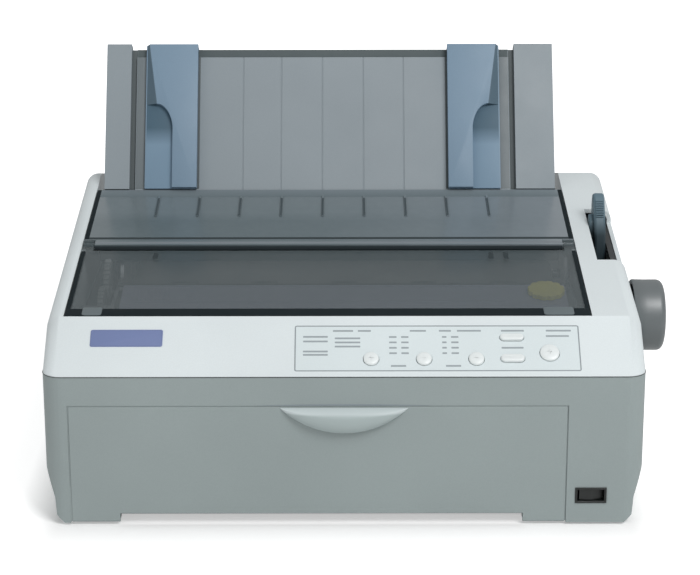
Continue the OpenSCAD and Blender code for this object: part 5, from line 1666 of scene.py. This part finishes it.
@dataclass
class Carriage:
    """Frames, rods, drive belt, carriage, print head and ribbon cartridge.

    Lengths are in millimetres in the case frame.
    """

    belt_place: Triple = (0.0, 73.8, 70.0)
    pulley_x: float = 140.0
    pulley_r: float = 8.0
    belt_width: float = 5.0
    belt_thick: float = 1.5
    tooth: float = 0.35
    tooth_pitch: float = 3.0
    cartridge_y: float = 70.0

    def belt(self) -> None:
        """Makes the toothed belt: its inner face follows a rounded tooth wave.

        Along the loop's arc length l a tooth of height h stands in by
        h (1 + cos(2 pi l / p)) / 2, with a pitch p that goes into the loop evenly.
        """
        half, r, width = self.pulley_x, self.pulley_r, self.belt_width
        flat = np.linspace(-half, half, 500, endpoint=False)
        turn = polar(r, np.linspace(-math.pi / 2, math.pi / 2, 60, endpoint=False)) + [half, 0]
        line = np.concatenate([level(flat, -r), turn, level(-flat, r), -turn])
        step = np.linalg.norm(np.roll(line, -1, axis=0) - line, axis=1)
        length = np.concatenate([[0], np.cumsum(step)[:-1]])
        pitch = step.sum() / round(step.sum() / self.tooth_pitch)
        wave = self.tooth * (1 + np.cos(2 * math.pi * length / pitch)) / 2
        edge = unit(np.roll(line, -1, axis=0) - np.roll(line, 1, axis=0))
        normal = np.column_stack([edge[:, 1], -edge[:, 0]])
        inner = line + normal * (0.1 + self.tooth - wave)[:, None]
        outer = line + normal * self.belt_thick
        rows = [level(loop, y)[:, [0, 2, 1]]
                for loop, y in ((inner, 0.0), (outer, 0.0), (outer, width), (inner, width))]
        make("belt", loft(np.array(rows), ring=True), CASE.upright(*self.belt_place),
             "drive_belt", replaces=True, sharp=30)

    def head_details(self) -> None:
        """Adds rivets and the flat cable's clip to the print head."""
        low, high = CASE.extent("print_head")
        x, top = (low[0] + high[0]) / 2, high[2]
        rivet = revolve([(0.1, -0.2), (2.1, -0.2), (1.9, 0.3), (1.2, 0.65), (0.1, 0.7)], 24)
        places = [(x + dx, y, top) for dx in (-11, 11) for y in (66, 78)]
        clip = block(x - 9, x + 9, 62, 69, top - 0.1, top + 1.8, 1.0, 0.5)
        make("head_rivets", rivet.at(places), CASE.upright(), "print_head", "screw_steel")
        make("head_clip", clip, CASE.upright(), "print_head", "black_plastic")

    def cartridge_details(self) -> None:
        """Adds the raised ribs, the end grips and the edge of the ribbon cartridge."""
        low, high = CASE.extent("ribbon_cartridge")
        x0, x1 = low[0] + 12, high[0] - 12
        s = (self.cartridge_y - CASE.panel_run) / math.cos(math.radians(CASE.cover_slope))
        rails = [block(x0, x1 - 34, s + ds, s + ds + 1.6, -6.9, -6.0, 0.6, 0.3)
                 for ds in (1.5, 26.0)]
        grips = [block(x, x + 1.2, s + 5, s + 22, -6.9, -5.9, 0.5, 0.3)
                 for x in np.linspace(x0 + 4, x0 + 24, 8)]
        edge = block(x0 - 11, x1 + 11, s + 28.4, s + 31.6, -8.0, -6.3, 0.6, 0.3)
        make("cartridge_ribs", rails + grips, CASE.covers(), "ribbon_cartridge")
        make("cartridge_edge", edge, CASE.covers(), "ribbon_cartridge", "black_plastic")

    def build(self) -> None:
        """Builds the moving carriage and what carries it."""
        for node, width in (("base_frame", 0.3), ("side_frame_left", 0.3),
                            ("side_frame_right", 0.3), ("carriage_rod", 0.4),
                            ("carriage_rail", 0.3), ("carriage_motor", 0.5),
                            ("carriage_pulley", 0.2), ("idler_pulley", 0.2),
                            ("carriage", 0.5), ("print_head", 0.3),
                            ("ribbon_cartridge", 0.5), ("ribbon_knob", 0.4),
                            ("gap_lever", 0.4), ("release_shaft", 0.3)):
            soften(node, width)
        soften("paper_plate", 0.2, "black_plastic")
        self.belt()
        self.head_details()
        self.cartridge_details()


# --- Electronics and rear sockets ----------------------------------------------------
@dataclass
class Electronics:
    """Main board, power supply, mains inlet and interface sockets.

    Lengths are in millimetres in the case frame.
    """

    board_top: float = 15.6
    board_y: Span = (92.0, 222.0)
    main_x: Span = (-140.0, 56.0)
    supply_x: Span = (70.0, 150.0)
    chip_height: float = 4.0
    leg_pitch: float = 2.54
    ports: Triple = (-92.0, 342.0, 36.0)

    def board(self, name: str, span: Span, node: str) -> None:
        """Makes a circuit board on four stands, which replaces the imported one.

        Args:
            name: The new piece's name.
            span: Its left and right edges.
            node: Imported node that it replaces.
        """
        (x0, x1), (y0, y1) = span, self.board_y
        plate = block(x0, x1, y0, y1, self.board_top - 1.6, self.board_top, 2.0, 0.15)
        stand = revolve([(0.1, -5.6), (2.9, -5.6), (3.0, -5.4), (3.0, -1.7), (2.6, -1.6),
                         (2.6, 0.0), (1.2, 0.25), (0.1, 0.3)], 24)
        places = [(x, y, self.board_top) for x in (x0 + 6, x1 - 6) for y in (y0 + 6, y1 - 6)]
        make(name, [plate, stand.at(places)], CASE.upright(), node, replaces=True)

    def legs(self, x: float, y: float, width: float, depth: float) -> Shape:
        """The two rows of legs of a chip, from its lower left corner and size.

        Args:
            x, y: The chip's lower left corner.
            width, depth: Its size on the board.

        Returns:
            All the legs as one shape.
        """
        top, pitch = self.board_top, self.leg_pitch
        leg = block(-0.3, 0.3, -0.35, 0.35, top - 0.1, top + 2.2, 0.1, 0.1)
        count = int(width / pitch)
        start = x + (width - (count - 1) * pitch) / 2
        return leg.at([(start + i * pitch, side, 0) for i in range(count)
                       for side in (y - 0.5, y + depth + 0.5)])

    def can(self, radius: float, height: float, x: float, y: float) -> Shape:
        """A capacitor can: a rolled groove near its foot and a dished top.

        Args:
            radius, height: Its size.
            x, y: Its place on the board.

        Returns:
            The can, standing on the board.
        """
        profile = [(0.1, 0), (radius - 0.3, 0), (radius, 0.4), (radius, 2.2),
                   (radius - 0.5, 2.8), (radius, 3.4), (radius, height - 0.8),
                   (radius - 0.6, height), (radius - 1.2, height - 0.3), (0.1, height - 0.35)]
        return revolve(profile, 40).shift(x, y, self.board_top)

    def parts(self) -> None:
        """Places chips, cans, coils, the heat sink and plugs on both boards."""
        top, (x0, _), (y0, y1), (sx0, sx1) = (self.board_top, self.main_x, self.board_y,
                                              self.supply_x)
        spots = [(x0 + x, y0 + y, width, depth) for x, y, width, depth in
                 ((50, 28, 30, 30), (100, 38, 40, 15), (100, 66, 34, 8), (56, 74, 20, 8),
                  (20, 34, 18, 8), (20, 50, 18, 8))]
        chips = [block(x, x + width, y, y + depth, top + 0.6, top + self.chip_height, 0.4, 0.4)
                 for x, y, width, depth in spots]
        cans = [self.can(6, 16, x0 + 20 + i * 18, y1 - 27) for i in range(4)]
        cans += [self.can(3, 8, x0 + 98 + i * 12, y1 - 22) for i in range(6)]
        plugs = [block(x0 + 150, x0 + 180, y, y + 10, top, top + 11, 0.5, 0.4)
                 for y in (y0 + 18, y0 + 36)]
        coil = [block(sx0 + 14, sx0 + 60, y1 - 48, y1 - 14, top, top + 30, 2, 1),
                block(sx0 + 22, sx0 + 52, y1 - 52, y1 - 10, top + 5, top + 26, 6, 2)]
        fins = [block(sx0 + 8, sx0 + 14, y0 + 18, y0 + 78, top, top + 4, 0.5, 0.3)]
        fins += [block(sx0 + 8 + x, sx0 + 9.1 + x, y0 + 18, y0 + 78, top + 3.8, top + 26, 0.3,
                       0.2) for x in (0, 2.1, 4.2)]
        for name, shape, node, paint in (
                ("chips", chips, "main_board", "black_plastic"),
                ("chip_legs", [self.legs(*spot) for spot in spots], "main_board", "screw_steel"),
                ("small_cans", cans, "main_board", "head_metal"),
                ("plugs", plugs, "main_board", "gear_plastic"),
                ("transformer", coil, "power_supply", "motor_metal"),
                ("heat_sink", fins, "power_supply", "head_metal"),
                ("smoothing_can", self.can(11, 30, sx1 - 32, y0 + 48), "power_supply",
                 "head_metal")):
            make(name, shape, CASE.upright(), node, paint)

    def sockets(self) -> None:
        """Adds contacts, bail clips and nuts to the rear sockets."""
        soften("ac_inlet", 0.3)
        soften("interface_ports", 0.25)
        pins = [block(a - 0.35, a + 0.35, b - 0.25, b + 0.25, -7.0, -2.6, 0.1, 0.1)
                for a in np.linspace(-12, 40, 18) for b in (-2.0, 2.0)]
        nuts = slab(circle(3.0, 6), -6.2, -3.2, 0.2, 0.4).at([(-22.2, 0, 0), (48.6, 0, 0)])
        wire = np.array([(-50.0, -4.6, -2.6), (-50.0, -5.4, -1.5), (-50.0, 0.0, -1.3),
                         (-50.0, 5.4, -1.5), (-50.0, 4.6, -2.6)])
        clips = [sweep(circle(0.5, 10), wire * [side, 1, 1] + [x, 0, 0], (1, 0, 0))
                 for side, x in ((1, 32.2), (-1, -3.6))]
        for name, shape, paint in (("port_contacts", pins, "pinion_brass"),
                                   ("port_nuts", nuts, "screw_steel"),
                                   ("port_clips", clips, "rod_steel")):
            make(name, shape, CASE.rear(*self.ports), "interface_ports", paint)

    def build(self) -> None:
        """Builds boards, their parts and the rear sockets."""
        self.board("main_circuit", self.main_x, "main_board")
        self.board("supply_circuit", self.supply_x, "power_supply")
        self.parts()
        self.sockets()


# --- Stage: floor, lights and camera -------------------------------------------------
@dataclass(frozen=True)
class Studio:
    """A pale floor, an even sky, two broad lamps and the camera."""

    floor_side: float = 12.0
    sky: float = 0.416
    glossy_sky: float = 0.68
    key_place: Triple = (0.85, -1.3, 1.75)
    key_watts: float = 28.0
    side_place: Triple = (-1.5, -0.9, 1.0)
    side_watts: float = 3.0
    lamp_size: float = 1.0
    lamp_aim: Triple = (0.0, 0.0, 0.1)
    paper: tuple[float, ...] = (0.94, 0.94, 0.94, 1.0)
    # Painted light on the floor, seen only by the camera: least next to the case, more farther
    # out and under the case.
    contact: float = 0.07
    glow: float = 0.62
    painted_light_under: float = 0.42
    glow_far: float = 0.46
    spread: float = 0.085
    side_weight: float = 2.6
    side_bevel: float = 0.009
    focal: float = 109.58
    camera_down: float = 16.917
    camera_case_mm: Triple = (0.0, -1290.0, 554.7)
    shift: float = 6.84 / 700
    roll: float = 0.0014

    def floor(self) -> None:
        """Lays the floor: nearly white to the camera, with the shadow kept near the case and
        painted light over it farther out and under the case.
        """
        mesh = bpy.data.meshes.new("floor")
        corners = level(rectangle(self.floor_side, self.floor_side), 0.0)
        mesh.from_pydata(corners.tolist(), [], [(0, 1, 2, 3)])
        book = NodeBook(bpy.data.materials.new("floor_paper"))
        around, inside = self.footprint(book)
        near = book.span(around, self.contact, self.glow, 0, self.spread)
        far = book.span(around, 0, self.glow_far, 0.15, 2.0)
        under = book.span(inside, self.painted_light_under, 0, -0.006, 0.001)
        light = book.math("ADD", book.math("ADD", near, far), under)
        camera_ray = book.add("LightPath").outputs["Is Camera Ray"]
        glow = book.add("Emission", {"Color": (1, 1, 1, 1),
                                     "Strength": book.math("MULTIPLY", camera_ray, light)})
        paper = book.principled([], Base_Color=self.paper, Roughness=0.9)
        both = book.add("AddShader", {0: paper, 1: glow.outputs["Emission"]})
        book.put(both.outputs["Shader"], book.output.inputs["Surface"])
        mesh.materials.append(book.owner)
        add_object("floor", mesh)

    def footprint(self, book: NodeBook) -> tuple[Socket, Socket]:
        """Measures how far a point of the floor lies outside and inside the case.

        With q = |p - c| - h for the case's middle c and half size h, the distance around
        is |(side q_x, q_y)| over the positive parts, and the one inside is max(q_x, q_y).

        Args:
            book: The floor's nodes.

        Returns:
            The distance around the case and the signed distance inside it, in metres.
        """
        low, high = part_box("lower_case")
        middle, half = (low + high) / 2, (high - low) / 2
        from_middle = book.vector("SUBTRACT", book.coordinates, (middle.x, middle.y, 0))
        over = book.vector("SUBTRACT", book.vector("ABSOLUTE", from_middle),
                           (half.x - self.side_bevel, half.y, 0))
        weighted = book.vector("MULTIPLY", book.vector("MAXIMUM", over),
                               (self.side_weight, 1, 0))
        part = book.add("SeparateXYZ", {"Vector": over}).outputs
        return (book.vector("LENGTH", weighted, output="Value"),
                book.math("MAXIMUM", part["X"], part["Y"]))

    def world(self) -> None:
        """Sets an even sky that looks white to the camera and brighter in reflections."""
        world = bpy.data.worlds.new("sky")
        bpy.context.scene.world = world
        book = NodeBook(world, "OutputWorld")
        rays = book.add("LightPath").outputs
        light = book.span(rays["Is Glossy Ray"], self.sky, self.glossy_sky, 0, 1)
        light = book.span(rays["Is Camera Ray"], light, 1.0, 0, 1)
        back = book.add("Background", {"Color": (1, 1, 1, 1), "Strength": light})
        book.put(back.outputs["Background"], book.output.inputs["Surface"])

    def lamp(self, name: str, place: Triple, watts: float) -> None:
        """Hangs one square area lamp that looks at the printer.

        Args:
            name: The lamp's name.
            place: Where it hangs, in metres.
            watts: Its power.
        """
        data = bpy.data.lights.new(name, "AREA")
        data.size = self.lamp_size
        data.energy = watts
        lamp = add_object(name, data)
        lamp.location = place
        x, y, z = np.subtract(self.lamp_aim, place)
        lamp.rotation_euler = (math.atan2(math.hypot(x, y), -z), 0, math.atan2(-x, y))

    def camera(self) -> None:
        """Sets the camera at its place in front of and above the printer."""
        data = bpy.data.cameras.new("camera")
        data.sensor_width = 36
        data.lens = self.focal
        data.shift_x = self.shift
        data.clip_end = 50
        camera = add_object("camera", data)
        camera.location = CASE.point(*self.camera_case_mm)
        camera.rotation_euler = (math.radians(90 - self.camera_down), self.roll, 0)
        bpy.context.scene.camera = camera

    def build(self) -> None:
        """Sets up floor, sky, lamps and camera."""
        bpy.context.scene.view_settings.view_transform = "Standard"
        self.camera()
        self.floor()
        self.world()
        self.lamp("lamp_key", self.key_place, self.key_watts)
        self.lamp("lamp_side", self.side_place, self.side_watts)
        log.info("built the studio")


def main() -> None:
    """Builds the studio and dresses the printer, one sub-assembly after another."""
    logging.basicConfig(level=logging.INFO, format="%(message)s")
    Studio().build()
    for node in frame["nodes"]:
        dress(node)
    for assembly in (CaseShells(), FrontDoor(), Covers(), SheetGuide(), ControlPanel(),
                     SideControls(), FeedTrain(), PaperBail(), Carriage(), Electronics()):
        assembly.build()


if __name__ == "__main__":
    main()
